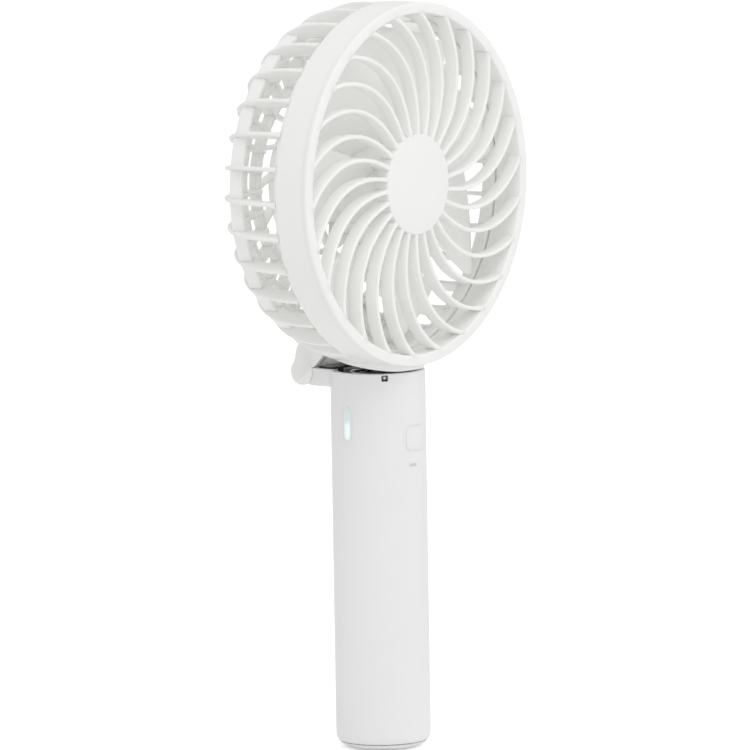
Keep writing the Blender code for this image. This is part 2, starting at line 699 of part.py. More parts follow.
def hinge_hardware():
    axis_at = (0, HINGE_Y, HINGE_Z)
    rod("hinge_pin", PIN_RADIUS, -8.8, 8.8, STEEL, 24, "X", axis_at)
    rod("hinge_pin_plug", PIN_RADIUS, 9.0, 9.9, HEAD_WHITE, 24, "X", axis_at)
    for side, sign in (("left", -1), ("right", 1)):
        low, high = sorted((sign * (TONGUE_HALF_WIDTH + 0.1), sign * (TONGUE_HALF_WIDTH + 0.5)))
        hoop("friction_washer_" + side, 3.4, PIN_RADIUS + 0.1, low, high, NYLON, 24, "X", axis_at)


# ---------------------------------------------------------------- motor and impeller

def motor_can():
    r, wall = MOTOR_RADIUS, 0.8
    profile = [(r, MOTOR_REAR_Y), (r, MOTOR_FRONT_Y + 0.6), (r - 0.6, MOTOR_FRONT_Y)]
    profile += [(2.6, MOTOR_FRONT_Y), (2.6, MOTOR_FRONT_Y + wall), (r - wall, MOTOR_FRONT_Y + wall)]
    profile += [(r - wall, MOTOR_REAR_Y)]
    return turned("motor_can", profile, ZINC, 32, "Y", (0, 0, HEAD_Z), ring=True)


def motor_end_cap():
    low, high = MOTOR_REAR_Y + 0.2, MOTOR_REAR_Y + 2.0
    lid = hoop("motor_end_cap", MOTOR_RADIUS - 0.1, 2.6, low, high, NYLON, 32, "Y", (0, 0, HEAD_Z))
    for side, sign in (("left", -1), ("right", 1)):
        cut(lid, rod("lid_hole_" + side, 0.95, low - 1, high + 1, None, 12, "Y",
                     (5.6 * sign, 0, HEAD_Z)))
    return lid


def motor_screw(side, sign):
    profile = [(0, 19.9), (1.1, 19.9), (1.6, 19.4), (1.6, 18.7), (0.8, 18.7), (0.8, 13.0), (0, 13.0)]
    return turned("motor_screw_" + side, profile, ZINC, 16, "Y", (5.6 * sign, 0, HEAD_Z))


def magnet(name, middle):
    outline = [(v + HEAD_Z, u) for u, v in sector(9.6, 7.9, middle - 58, middle + 58, 10)]
    return plate(name, [outline], -1.2, 9.0, FERRITE, axis="Y")


def armature_core():
    """Three-pole core with a bore for the shaft."""
    outline = []
    for pole in range(3):
        middle = 90 + 120 * pole
        outline += arc(0, 0, 7.3, middle - 50, middle + 50, 6)
        outline += arc(0, 0, 6.3, middle + 50, middle + 17, 1)
        outline += arc(0, 0, 3.2, middle + 38, middle + 82, 1)
        outline += arc(0, 0, 6.3, middle + 103, middle + 70, 1)
    bore = arc(0, 0, SHAFT_RADIUS + 0.1, 0, 337.5, 15)
    outlines = [[(v + HEAD_Z, u) for u, v in loop] for loop in (outline, bore)]
    return plate("armature_core", outlines, -0.2, 8.2, COPPER, axis="Y")


def rotor_small_parts():
    head = (0, 0, HEAD_Z)
    rod("motor_shaft", SHAFT_RADIUS, -9.0, 14.2, STEEL, 16, "Y", head)
    hoop("commutator", 2.3, SHAFT_RADIUS + 0.1, 8.8, 11.2, COPPER, 16, "Y", head)


def motor_small_parts():
    head = (0, 0, HEAD_Z)
    hoop("bush_front", 2.4, SHAFT_RADIUS + 0.1, MOTOR_FRONT_Y - 1.2, MOTOR_FRONT_Y + 1.6, BRASS,
         16, "Y", head)
    hoop("bush_rear", 2.4, SHAFT_RADIUS + 0.1, MOTOR_REAR_Y - 0.6, MOTOR_REAR_Y + 1.9, BRASS, 16,
         "Y", head)
    for side, sign in (("left", -1), ("right", 1)):
        low, high = sorted((sign * 2.5, sign * 5.2))
        box("brush_" + side, (low, 9.4, HEAD_Z - 0.9), (high, 10.9, HEAD_Z + 0.9), CARBON)


def blade_point(share_r, share_c, turn):
    """A point of an impeller blade, from its share of the radius and of the chord."""
    radius = 12.4 + (IMPELLER_RADIUS - 12.4) * share_r
    span = 38.0 + 10.0 * share_r
    depth = 11.0 + 1.0 * share_r
    camber = 1.5 * (1 - (2 * share_c - 1) ** 2)
    lean = 10.0 * share_r ** 1.5
    y = BLADE_FRONT_Y - 0.3 * share_r + depth * share_c + camber
    return on_head(radius, turn + lean + (share_c - 0.5) * span, y)


def impeller():
    cup = [(0, -9.2), (1.1, -9.2), (1.1, -5.0), (3.0, -5.0), (3.0, -9.2), (11.7, -9.2)]
    cup += [(11.7, 5.0), (13.0, 5.0), (13.0, -9.9), (12.2, -10.6), (0, -10.6)]
    fan = turned("impeller", cup, CLEAR_WHITE, 32, "Y", (0, 0, HEAD_Z))
    blades = bmesh.new()
    for number in range(BLADE_COUNT):
        turn = BLADE_START + 360 * number / BLADE_COUNT
        grid = [[blades.verts.new(Vector(blade_point(i / 5, j / 4, turn)) * MM)
                 for j in range(5)] for i in range(6)]
        for low, high in zip(grid[:-1], grid[1:]):
            for j in range(4):
                blades.faces.new((low[j], low[j + 1], high[j + 1], high[j]))
    mesh = bpy.data.meshes.new("blades")
    blades.to_mesh(mesh)
    blades.free()
    sheet = place("blades", mesh, None)
    thicken(sheet, 1.2, 0.0)
    join(fan, sheet)
    return fan


def motor_leads():
    """Two leads from the motor's back down one gap between the ribs."""
    pitch = 360 / RIB_COUNT
    gaps = [RIB_START + pitch * (i + 0.5) for i in range(RIB_COUNT)]
    angle = min(gaps, key=lambda a: abs((a + 90 + 180) % 360 - 180))
    for name, offset in (("motor_lead_positive", -0.85), ("motor_lead_negative", 0.85)):
        side = 3.0 if offset > 0 else -3.0
        knots = [(side, 15.3, HEAD_Z - 1.0), (side * 0.7, 15.8, HEAD_Z - 4.0),
                 (offset, 15.8, HEAD_Z - 9.0), (offset, 15.8, HEAD_Z - 14.5)]
        for radius in (25.0, 41.5):
            x, y, z = on_head(radius, angle, 15.8)
            knots.append((x + offset, y, z))
        wire(name, smooth_path(knots, 3), 0.5, WHITE_WIRE)


# ---------------------------------------------------------------- assembly

def joint_empty(name, at, members):
    """An empty on a joint's axis, the parent of the pieces that move with it."""
    empty = bpy.data.objects.new(name, None)
    PARTS.objects.link(empty)
    empty.location = Vector(at) * MM
    bpy.context.view_layer.update()
    for member in members:
        piece = bpy.data.objects[member]
        piece.parent = empty
        piece.matrix_parent_inverse = empty.matrix_world.inverted()
    return empty


def build():
    handle_tube()
    bottom_cap()
    hinge_block()
    top_plate()
    hanging_clip()
    inner_chassis()
    battery_cell()
    cell_tab("cell_tab_positive", 71.8)
    cell_tab("cell_tab_negative", 5.9)
    circuit_board()
    tact_switch()
    switch_plunger()
    power_button()
    status_led()
    light_lens()
    charge_indicator()
    usb_port()
    usb_tongue()
    battery_leads()
    front_grille()
    hub_cap()
    head_band()
    rear_cage()
    rear_cap()
    hinge_hardware()
    motor_can()
    motor_end_cap()
    magnet("magnet_upper", 90)
    magnet("magnet_lower", 270)
    armature_core()
    rotor_small_parts()
    motor_small_parts()
    impeller()
    motor_leads()
    for side, sign in (("left", -1), ("right", 1)):
        block_screw(side, sign)
        motor_screw(side, sign)
    hinge = joint_empty("head_fold_axis", (0, HINGE_Y, HINGE_Z), [
        "front_grille", "hub_cap", "head_band", "rear_cage", "rear_cap", "motor_can",
        "motor_end_cap", "magnet_upper", "magnet_lower", "bush_front", "bush_rear", "brush_left",
        "brush_right", "motor_screw_left", "motor_screw_right", "motor_lead_positive",
        "motor_lead_negative", "hinge_pin", "hinge_pin_plug", "friction_washer_left",
        "friction_washer_right"])
    spin = joint_empty("fan_spin_axis", (0, 0, HEAD_Z),
                       ["impeller", "motor_shaft", "armature_core", "commutator"])
    spin.parent = hinge
    spin.matrix_parent_inverse = hinge.matrix_world.inverted()
    joint_empty("button_axis", (0, -HANDLE_RADIUS, BUTTON_Z), ["power_button", "switch_plunger"])
    joint_empty("clip_axis", (0, CLIP_PIVOT_Y, CLIP_Z - 0.4), ["hanging_clip"])


build()
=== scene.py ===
"""Looks for the folding handheld fan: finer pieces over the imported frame, finishes, light, camera.

Lengths in the geometry functions are millimetres in the frame's own axes; MM turns them into
metres. The frame's boxes and joints give the places of the head, the handle and the hinge.
"""
import json
from math import asin, atan2, cos, degrees, pi, radians, sin, sqrt, tan

import bmesh
import bpy
from mathutils import Matrix, Vector


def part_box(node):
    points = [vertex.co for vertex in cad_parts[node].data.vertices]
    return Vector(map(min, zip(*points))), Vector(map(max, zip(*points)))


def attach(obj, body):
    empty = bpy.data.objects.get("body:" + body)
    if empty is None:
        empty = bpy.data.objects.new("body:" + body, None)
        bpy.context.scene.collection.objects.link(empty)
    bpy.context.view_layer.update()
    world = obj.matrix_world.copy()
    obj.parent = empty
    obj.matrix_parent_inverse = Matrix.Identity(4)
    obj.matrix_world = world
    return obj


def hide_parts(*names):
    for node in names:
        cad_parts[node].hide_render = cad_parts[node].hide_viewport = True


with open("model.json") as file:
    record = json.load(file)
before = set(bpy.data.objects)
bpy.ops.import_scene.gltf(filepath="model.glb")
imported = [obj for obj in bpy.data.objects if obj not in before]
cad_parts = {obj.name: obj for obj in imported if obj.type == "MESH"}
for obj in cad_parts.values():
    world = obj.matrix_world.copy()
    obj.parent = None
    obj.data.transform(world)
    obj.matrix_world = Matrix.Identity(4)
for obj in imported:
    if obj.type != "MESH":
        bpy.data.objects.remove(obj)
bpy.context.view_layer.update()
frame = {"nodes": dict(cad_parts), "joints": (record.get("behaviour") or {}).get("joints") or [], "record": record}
MM = 0.001

# ------------------------------------------------------------------ sizes taken from the frame

JOINTS = {joint["name"]: joint for joint in frame["joints"]}
HINGE_Y, HINGE_Z = (value / MM for value in JOINTS["head_fold"]["pos_m"][1:])
HEAD_Z = JOINTS["fan_spin"]["pos_m"][2] / MM


def node_box(node):
    """Low and high corner of a CAD node, in millimetres."""
    low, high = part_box(node)
    return low / MM, high / MM


HEAD_R = node_box("head_band")[1].x
FRONT_Y = node_box("front_grille")[0].y
BAND_REAR_Y = node_box("head_band")[1].y
HANDLE_R = node_box("handle_tube")[1].x
HANDLE_TOP = node_box("handle_tube")[1].z
TUBE_LOW = node_box("handle_tube")[0].z
CAP_HIGH = TUBE_LOW - 0.3
HANDLE_BORE = 12.1
BOTTOM_ROUNDING = 4.1
BUTTON_LOW, BUTTON_HIGH = node_box("power_button")
BUTTON_Z = (BUTTON_LOW.z + BUTTON_HIGH.z) / 2
LENS_LOW, LENS_HIGH = node_box("light_lens")
LIGHT_Z = (LENS_LOW.z + LENS_HIGH.z) / 2
LIGHT_ANGLE = -94.0
DASH_LOW, DASH_HIGH = node_box("charge_indicator")
PORT_LOW, PORT_HIGH = node_box("usb_port")

LIP_INNER = 49.3
SKIRT_R = 50.5
HUB_R = 14.5
FIN_COUNT, FIN_START, FIN_SWEEP, FIN_POWER = 26, 142.5, 27.0, 1.85
FIN_THICKNESS, FIN_DEPTH = 1.15, 4.4
RIB_COUNT, RIB_START, RIB_THICKNESS, RIB_DEPTH = 32, 92.3, 1.15, 4.5
DOME_R, DOME_START_Y, DOME_CORNER_R, DOME_CORNER_Y = 52.4, 0.3, 14.0, 22.0
REAR_Y = DOME_START_Y + DOME_CORNER_Y
MID_RING_R = 30.0
REAR_RINGS = ((21.4, 21.9, 3.0), (36.2, 21.9, 3.4), (40.6, 19.6, 2.8))
CUP_R, CUP_BORE = 12.4, 10.9
FOOT_R, FOOT_Z, FOOT_TILT = 13.6, 110.55, 9.9
KNUCKLE_R, TONGUE_HALF, HINGE_HALF = 3.9, 6.2, 10.0
IMPELLER_R, BLADE_COUNT, BLADE_START, BLADE_FRONT_Y = 44.6, 7, 22.0, -9.6


# ------------------------------------------------------------------ geometry helpers

def finish_piece(name, form, material, body, replaced=(), angle=38, bevel=0.0):
    """Turn a bmesh into a shown piece that rides on a body and stands for CAD nodes."""
    bmesh.ops.recalc_face_normals(form, faces=form.faces)
    mesh = bpy.data.meshes.new(name)
    form.to_mesh(mesh)
    form.free()
    mesh.materials.append(material)
    piece = bpy.data.objects.new(name, mesh)
    bpy.context.scene.collection.objects.link(piece)
    mesh.shade_smooth()
    mesh.set_sharp_from_angle(angle=radians(angle))
    if bevel:
        round_edges(piece, bevel)
    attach(piece, body)
    if replaced:
        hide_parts(*replaced)
    return piece


def round_edges(piece, width, segments=3):
    """Bevel the sharp edges of a piece."""
    bevel = piece.modifiers.new("rounding", "BEVEL")
    bevel.width = width * MM
    bevel.segments = segments
    bevel.limit_method = "ANGLE"
    bevel.angle_limit = radians(38)
    bevel.harden_normals = True


def soften(corners, closed, steps=5):
    """Round the corners of an outline; each corner is (u, v) or (u, v, radius)."""
    count = len(corners)
    points = []
    for i, corner in enumerate(corners):
        here = Vector(corner[:2])
        radius = corner[2] if len(corner) > 2 else 0.0
        if radius <= 0 or (not closed and i in (0, count - 1)):
            points.append(tuple(here))
            continue
        before = (Vector(corners[i - 1][:2]) - here)
        after = (Vector(corners[(i + 1) % count][:2]) - here)
        half = before.angle(after) / 2
        reach = min(radius / tan(half), before.length * 0.49, after.length * 0.49)
        radius = reach * tan(half)
        middle = here + (before.normalized() + after.normalized()).normalized() * radius / sin(half)
        start = here + before.normalized() * reach - middle
        end = here + after.normalized() * reach - middle
        turn = atan2(start.x * end.y - start.y * end.x, start.dot(end))
        for k in range(steps + 1):
            swing = Matrix.Rotation(turn * k / steps, 2)
            points.append(tuple(middle + swing @ start))
    return points


def lathe(form, profile, axis, centre, steps, closed=False, span=None):
    """Turn (radius, height) points about an axis; span is (start, end) degrees of a part turn."""
    full = span is None
    start, end = (0.0, 360.0) if full else span
    count = steps if full else steps + 1
    rings = []
    for radius, height in profile:
        if radius < 1e-6:
            rings.append([form.verts.new(on_axis(0, 0, height, axis, centre) * MM)])
            continue
        ring = []
        for k in range(count):
            angle = radians(start + (end - start) * k / steps)
            spot = on_axis(radius * cos(angle), radius * sin(angle), height, axis, centre)
            ring.append(form.verts.new(spot * MM))
        rings.append(ring)
    pairs = list(zip(rings[:-1], rings[1:]))
    if closed:
        pairs.append((rings[-1], rings[0]))
    for low, high in pairs:
        for k in range(count if full else count - 1):
            after = (k + 1) % count
            quad = [low[k % len(low)], low[after % len(low)],
                    high[after % len(high)], high[k % len(high)]]
            corners = list(dict.fromkeys(quad))
            if len(corners) > 2:
                form.faces.new(corners)
    if not full:
        form.faces.new([ring[0] for ring in rings])
        form.faces.new([ring[-1] for ring in reversed(rings)])


def on_axis(u, v, height, axis, centre):
    """Point at (u, v) across an axis and a height along it; for Y, u is x and v is z."""
    local = {"Z": (u, v, height), "Y": (u, height, v), "X": (height, u, v)}[axis]
    return Vector(local) + Vector(centre)


def slab(form, outline, low, high, axis="Z", turn=0.0, centre=(0, 0, 0)):
    """Extrude an outline between two heights along an axis, then turn it about world Z."""
    swing = Matrix.Rotation(radians(turn), 4, "Z")
    rows = []
    for height in (low, high):
        rows.append([form.verts.new(swing @ on_axis(u, v, height, axis, centre) * MM)
                     for u, v in outline])
    for k in range(len(outline)):
        after = (k + 1) % len(outline)
        form.faces.new((rows[0][k], rows[0][after], rows[1][after], rows[1][k]))
    form.faces.new(rows[0])
    form.faces.new(list(reversed(rows[1])))


def rounded_rectangle(centre_u, centre_v, width, height, corner, steps=8):
    """Outline of a rectangle with round corners."""
    w, h = width / 2, height / 2
    corners = [(centre_u - w, centre_v - h, corner), (centre_u + w, centre_v - h, corner),
               (centre_u + w, centre_v + h, corner), (centre_u - w, centre_v + h, corner)]
    return soften(corners, True, steps)


def bar(form, ladder, thickness, edge, flare=0.0, across=None):
    """Sweep a rounded section along rungs of (near, far) points; flare widens both ends."""
    rungs = [(Vector(a), Vector(b)) for a, b in ladder]
    rings = []
    last = len(rungs) - 1
    for i, (near, far) in enumerate(rungs):
        before = rungs[max(i - 1, 0)]
        after = rungs[min(i + 1, last)]
        along = (after[0] + after[1]) - (before[0] + before[1])
        depth = far - near
        side = across or along.cross(depth).normalized()
        half = thickness / 2 * (1 + flare * max(0, 1 - min(i, last - i) / 2.5) ** 2)
        round_to = min(edge, half * 0.98)
        section = []
        for along_depth, sign in ((0, -1), (0, 1), (1, 1), (1, -1)):
            section.append((along_depth * depth.length, sign * half, round_to))
        points = soften(section, True, 4)
        unit = depth.normalized()
        rings.append([form.verts.new((near + unit * u + side * v) * MM) for u, v in points])
    for low, high in zip(rings[:-1], rings[1:]):
        for k in range(len(low)):
            after = (k + 1) % len(low)
            form.faces.new((low[k], low[after], high[after], high[k]))
    form.faces.new(rings[0])
    form.faces.new(list(reversed(rings[-1])))


def tube(form, path, radius, sides=16):
    """A round wire along a path, its ends closed with domes."""
    points = [Vector(p) for p in path]
    normal = None
    rings = []
    for i, spot in enumerate(points):
        ahead = points[min(i + 1, len(points) - 1)] - points[max(i - 1, 0)]
        ahead.normalize()
        if normal is None:
            normal = ahead.orthogonal().normalized()
        normal = (normal - ahead * normal.dot(ahead)).normalized()
        side = ahead.cross(normal)
        sizes = [1.0]
        shifts = [0.0]
        if i in (0, len(points) - 1):
            outward = -1 if i == 0 else 1
            bows = [radians(a) for a in (0, 30, 60, 82)]
            sizes = [cos(a) for a in bows]
            shifts = [outward * sin(a) * radius * 0.7 for a in bows]
            if i == 0:
                sizes.reverse()
                shifts.reverse()
        for size, shift in zip(sizes, shifts):
            ring = []
            for k in range(sides):
                angle = 2 * pi * k / sides
                spoke = normal * cos(angle) + side * sin(angle)
                ring.append(form.verts.new((spot + ahead * shift + spoke * radius * size) * MM))
            rings.append(ring)
    for low, high in zip(rings[:-1], rings[1:]):
        for k in range(sides):
            after = (k + 1) % sides
            form.faces.new((low[k], low[after], high[after], high[k]))
    form.faces.new(rings[0])
    form.faces.new(list(reversed(rings[-1])))


def smooth_path(knots, per_span=8):
    """A Catmull-Rom path through the knots."""
    padded = [knots[0]] + list(knots) + [knots[-1]]
    path = []
    for i in range(1, len(padded) - 2):
        p0, p1, p2, p3 = (Vector(p) for p in padded[i - 1:i + 3])
        for k in range(per_span):
            t = k / per_span
            path.append(0.5 * (2 * p1 + (p2 - p0) * t + (2 * p0 - 5 * p1 + 4 * p2 - p3) * t ** 2
                               + (3 * p1 - p0 - 3 * p2 + p3) * t ** 3))
    path.append(Vector(knots[-1]))
    return path


def arc(centre_u, centre_v, radius, start, end, steps):
    """Points on a circular arc, both ends included, angles in degrees."""
    angles = [radians(start + (end - start) * i / steps) for i in range(steps + 1)]
    return [(centre_u + radius * cos(a), centre_v + radius * sin(a)) for a in angles]


def on_head(radius, angle, y):
    """A point of the head: radius and degrees about its axis, seen from the front, and y."""
    return Vector((radius * cos(radians(angle)), y, HEAD_Z + radius * sin(radians(angle))))


def hollow(form, *cutters):
    """Cut closed bodies out of a form and return the cut form; each cutter fills a new form."""
    blank = as_object("blank", form)
    tools = []
    for number, fill in enumerate(cutters):
        tool_form = bmesh.new()
        fill(tool_form)
        bmesh.ops.recalc_face_normals(tool_form, faces=tool_form.faces)
        tool = as_object("tool_%d" % number, tool_form)
        boolean = blank.modifiers.new("cut", "BOOLEAN")
        boolean.operation = "DIFFERENCE"
        boolean.solver = "EXACT"
        boolean.object = tool
        tools.append(tool)
    result = evaluated(blank)
    for used in [blank] + tools:
        bpy.data.objects.remove(used, do_unlink=True)
    return result


def as_object(name, form):
    """A temporary object from a form."""
    bmesh.ops.recalc_face_normals(form, faces=form.faces)
    mesh = bpy.data.meshes.new(name)
    form.to_mesh(mesh)
    form.free()
    made = bpy.data.objects.new(name, mesh)
    bpy.context.scene.collection.objects.link(made)
    return made


def evaluated(blank):
    """A bmesh of an object with its modifiers applied."""
    bpy.context.view_layer.update()
    shape = blank.evaluated_get(bpy.context.evaluated_depsgraph_get())
    form = bmesh.new()
    mesh = shape.to_mesh()
    form.from_mesh(mesh)
    shape.to_mesh_clear()
    return form


def bevelled(form, width, segments=3):
    """The form with its sharp edges rounded."""
    blank = as_object("blank", form)
    round_edges(blank, width, segments)
    result = evaluated(blank)
    bpy.data.objects.remove(blank, do_unlink=True)
    return result


def add(target, source):
    """Copy one form into another and free it."""
    mesh = bpy.data.meshes.new("part")
    source.to_mesh(mesh)
    source.free()
    target.from_mesh(mesh)
    bpy.data.meshes.remove(mesh)


# ------------------------------------------------------------------ finishes

def node_tools(material):
    """The node tree of a cleared material and a short way to add nodes to it."""
    material.use_nodes = True
    tree = material.node_tree

    def new(kind, **values):
        node = tree.nodes.new(kind)
        for key, value in values.items():
            if hasattr(node, key):
                setattr(node, key, value)
            else:
                node.inputs[key.replace("_", " ")].default_value = value
        return node

    return tree, new


def noise(tree, new, place, size_mm, detail=3.0, stretch=None):
    """Noise whose features are about size_mm across, in the object's own coordinates."""
    mapping = new("ShaderNodeMapping")
    mapping.inputs["Scale"].default_value = stretch or (1, 1, 1)
    tree.links.new(place.outputs["Object"], mapping.inputs["Vector"])
    made = new("ShaderNodeTexNoise", Scale=1.0 / (size_mm * MM), Detail=detail)
    tree.links.new(mapping.outputs["Vector"], made.inputs["Vector"])
    return made.outputs["Fac"]


def spread(tree, new, value, low, high):
    """Map a noise value onto a range."""
    ranged = new("ShaderNodeMapRange")
    ranged.inputs["From Min"].default_value = 0.3
    ranged.inputs["From Max"].default_value = 0.7
    ranged.inputs["To Min"].default_value = low
    ranged.inputs["To Max"].default_value = high
    tree.links.new(value, ranged.inputs["Value"])
    return ranged.outputs["Result"]


def tinted(tree, new, value, dark, light):
    """Blend two colours by a noise value."""
    mix = new("ShaderNodeMix")
    mix.data_type = "RGBA"
    mix.inputs[6].default_value = (*dark, 1)
    mix.inputs[7].default_value = (*light, 1)
    tree.links.new(value, mix.inputs[0])
    return mix.outputs[2]


def finish(name, dark, light, roughness, metallic=0.0, grain_mm=0.35, bump=0.12, depth_mm=0.01,
           blotch_mm=18.0, soft=0.0, soft_mm=2.5, edge_mm=0.12, stretch=None, coat=0.0, gloss=0.2):
    """A procedural finish: soft colour and gloss variation, fine grain and rounded edges."""
    material = bpy.data.materials.new(name)
    tree, new = node_tools(material)
    shader = tree.nodes["Principled BSDF"]
    place = new("ShaderNodeTexCoord")
    blotch = noise(tree, new, place, blotch_mm, 2.0)
    tree.links.new(tinted(tree, new, spread(tree, new, blotch, 0.0, 1.0), dark, light),
                   shader.inputs["Base Color"])
    patch = noise(tree, new, place, blotch_mm / 4, 2.0, stretch)
    tree.links.new(spread(tree, new, patch, roughness * (1 - gloss), roughness * (1 + gloss)),
                   shader.inputs["Roughness"])
    grain = noise(tree, new, place, grain_mm, 6.0, stretch)
    relief = new("ShaderNodeBump", Strength=bump, Distance=depth_mm * MM)
    tree.links.new(grain, relief.inputs["Height"])
    if edge_mm:
        rounding = new("ShaderNodeBevel", Radius=edge_mm * MM)
        rounding.samples = 4
        tree.links.new(rounding.outputs["Normal"], relief.inputs["Normal"])
    tree.links.new(relief.outputs["Normal"], shader.inputs["Normal"])
    shader.inputs["Metallic"].default_value = metallic
    shader.inputs["Coat Weight"].default_value = coat
    shader.inputs["Coat Roughness"].default_value = 0.08
    if soft:
        shader.inputs["Subsurface Weight"].default_value = soft
        shader.inputs["Subsurface Radius"].default_value = (1.0, 1.0, 0.96)
        shader.inputs["Subsurface Scale"].default_value = soft_mm * MM
    return material


def teal_light():
    """The lit lens: dim teal above, a bright streak below, fading into white at its edges."""
    material = finish("teal_lens", (0.48, 0.60, 0.60), (0.51, 0.63, 0.63), 0.18, edge_mm=0.2)
    tree, new = node_tools(material)
    shader = tree.nodes["Principled BSDF"]
    place = new("ShaderNodeTexCoord")
    split = new("ShaderNodeSeparateXYZ")
    tree.links.new(place.outputs["Object"], split.inputs["Vector"])
    ramp = new("ShaderNodeValToRGB")
    height = new("ShaderNodeMapRange")
    height.inputs["From Min"].default_value = LENS_LOW.z * MM
    height.inputs["From Max"].default_value = LENS_HIGH.z * MM
    tree.links.new(split.outputs["Z"], height.inputs["Value"])
    tree.links.new(height.outputs["Result"], ramp.inputs["Fac"])
    stops = ramp.color_ramp.elements
    stops[0].position, stops[0].color = 0.0, (0.34, 0.36, 0.36, 1)
    stops[1].position, stops[1].color = 1.0, (0.26, 0.28, 0.28, 1)
    for position, colour in ((0.12, (0.42, 0.45, 0.45, 1)), (0.42, (0.44, 0.47, 0.47, 1)),
                             (0.62, (0.22, 0.26, 0.26, 1)), (0.86, (0.20, 0.25, 0.25, 1))):
        stop = stops.new(position)
        stop.color = colour
    ripple = noise(tree, new, place, 2.2, 3.0)
    flicker = spread(tree, new, ripple, 0.88, 1.12)
    rim = lens_rim(tree, new, split)
    shown = new("ShaderNodeMix")
    shown.data_type = "RGBA"
    shown.inputs[7].default_value = (0.88, 0.88, 0.88, 1)
    tree.links.new(rim, shown.inputs[0])
    tree.links.new(shader.inputs["Base Color"].links[0].from_socket, shown.inputs[6])
    tree.links.new(shown.outputs[2], shader.inputs["Base Color"])
    glow = new("ShaderNodeMath", operation="MULTIPLY_ADD")
    tree.links.new(rim, glow.inputs[0])
    glow.inputs[1].default_value = -1.0
    glow.inputs[2].default_value = 1.0
    strength = new("ShaderNodeMath", operation="MULTIPLY")
    tree.links.new(glow.outputs["Value"], strength.inputs[0])
    tree.links.new(flicker, strength.inputs[1])
    tree.links.new(ramp.outputs["Color"], shader.inputs["Emission Color"])
    tree.links.new(strength.outputs["Value"], shader.inputs["Emission Strength"])
    return material


def lens_rim(tree, new, split):
    """Zero along the lens's middle line, rising to one at its edge."""
    beyond = []
    for socket, centre, straight in (("Y", (LENS_LOW.y + LENS_HIGH.y) / 2, 0.0),
                                     ("Z", LIGHT_Z, 3.4)):
        offset = new("ShaderNodeMath", operation="SUBTRACT")
        tree.links.new(split.outputs[socket], offset.inputs[0])
        offset.inputs[1].default_value = centre * MM
        distance = new("ShaderNodeMath", operation="ABSOLUTE")
        tree.links.new(offset.outputs["Value"], distance.inputs[0])
        extra = new("ShaderNodeMath", operation="SUBTRACT", use_clamp=True)
        tree.links.new(distance.outputs["Value"], extra.inputs[0])
        extra.inputs[1].default_value = straight * MM
        beyond.append(extra.outputs["Value"])
    joined = new("ShaderNodeCombineXYZ")
    tree.links.new(beyond[0], joined.inputs["Y"])
    tree.links.new(beyond[1], joined.inputs["Z"])
    length = new("ShaderNodeVectorMath", operation="LENGTH")
    tree.links.new(joined.outputs["Vector"], length.inputs[0])
    fade = new("ShaderNodeMapRange", interpolation_type="SMOOTHSTEP")
    fade.inputs["From Min"].default_value = 0.45 * MM
    fade.inputs["From Max"].default_value = 1.5 * MM
    tree.links.new(length.outputs["Value"], fade.inputs["Value"])
    return fade.outputs["Result"]


HEAD_WHITE = finish("head_white", (0.925, 0.928, 0.91), (0.935, 0.937, 0.92), 0.32, soft=0.2,
                    soft_mm=1.5, edge_mm=0, bump=0.05, gloss=0.05)
SHELL_WHITE = finish("shell_white", (0.88, 0.88, 0.88), (0.888, 0.888, 0.888), 0.30, soft=0.2,
                     blotch_mm=26.0, edge_mm=0, bump=0.05, gloss=0.05)
FAN_WHITE = finish("impeller_white", (0.95, 0.95, 0.938), (0.96, 0.96, 0.948), 0.26, soft=0.25,
                   soft_mm=1.5, edge_mm=0, bump=0.04, gloss=0.05)
BLACK = finish("black_plastic", (0.010, 0.010, 0.011), (0.020, 0.020, 0.021), 0.42, bump=0.5,
               depth_mm=0.04)
GREY = finish("chassis_grey", (0.24, 0.24, 0.25), (0.30, 0.30, 0.31), 0.5, bump=0.3)
STEEL = finish("steel", (0.50, 0.50, 0.51), (0.64, 0.64, 0.64), 0.22, metallic=1.0,
               blotch_mm=4.0, stretch=(1, 1, 0.08), bump=0.25)
ZINC = finish("zinc_steel", (0.58, 0.58, 0.57), (0.70, 0.70, 0.68), 0.34, metallic=1.0,
              blotch_mm=3.0, bump=0.3)
COPPER = finish("copper", (0.66, 0.30, 0.15), (0.80, 0.42, 0.24), 0.32, metallic=1.0,
                blotch_mm=2.0, stretch=(0.2, 1, 1), bump=0.4)
BRASS = finish("brass_bush", (0.66, 0.50, 0.24), (0.78, 0.62, 0.32), 0.38, metallic=1.0,
               blotch_mm=2.0, bump=0.4)
NICKEL = finish("nickel", (0.62, 0.60, 0.55), (0.74, 0.71, 0.66), 0.3, metallic=1.0,
                blotch_mm=3.0)
FERRITE = finish("ferrite", (0.05, 0.05, 0.055), (0.09, 0.09, 0.095), 0.75, bump=0.5)
CARBON = finish("carbon", (0.03, 0.03, 0.03), (0.06, 0.06, 0.06), 0.6, bump=0.4)
BOARD = finish("board_green", (0.02, 0.14, 0.06), (0.03, 0.20, 0.09), 0.4, blotch_mm=2.5,
               bump=0.3)
SLEEVE = finish("cell_sleeve", (0.05, 0.18, 0.42), (0.07, 0.22, 0.50), 0.3, bump=0.2)
RED_WIRE = finish("red_wire", (0.42, 0.02, 0.02), (0.55, 0.035, 0.03), 0.45, blotch_mm=4.0)
BLACK_WIRE = finish("black_wire", (0.015, 0.015, 0.015), (0.03, 0.03, 0.03), 0.45,
                    blotch_mm=4.0)
WHITE_WIRE = finish("white_wire", (0.76, 0.76, 0.74), (0.82, 0.82, 0.80), 0.45, blotch_mm=4.0)
NYLON = finish("nylon", (0.70, 0.69, 0.62), (0.78, 0.77, 0.71), 0.45, soft=0.3, blotch_mm=4.0)
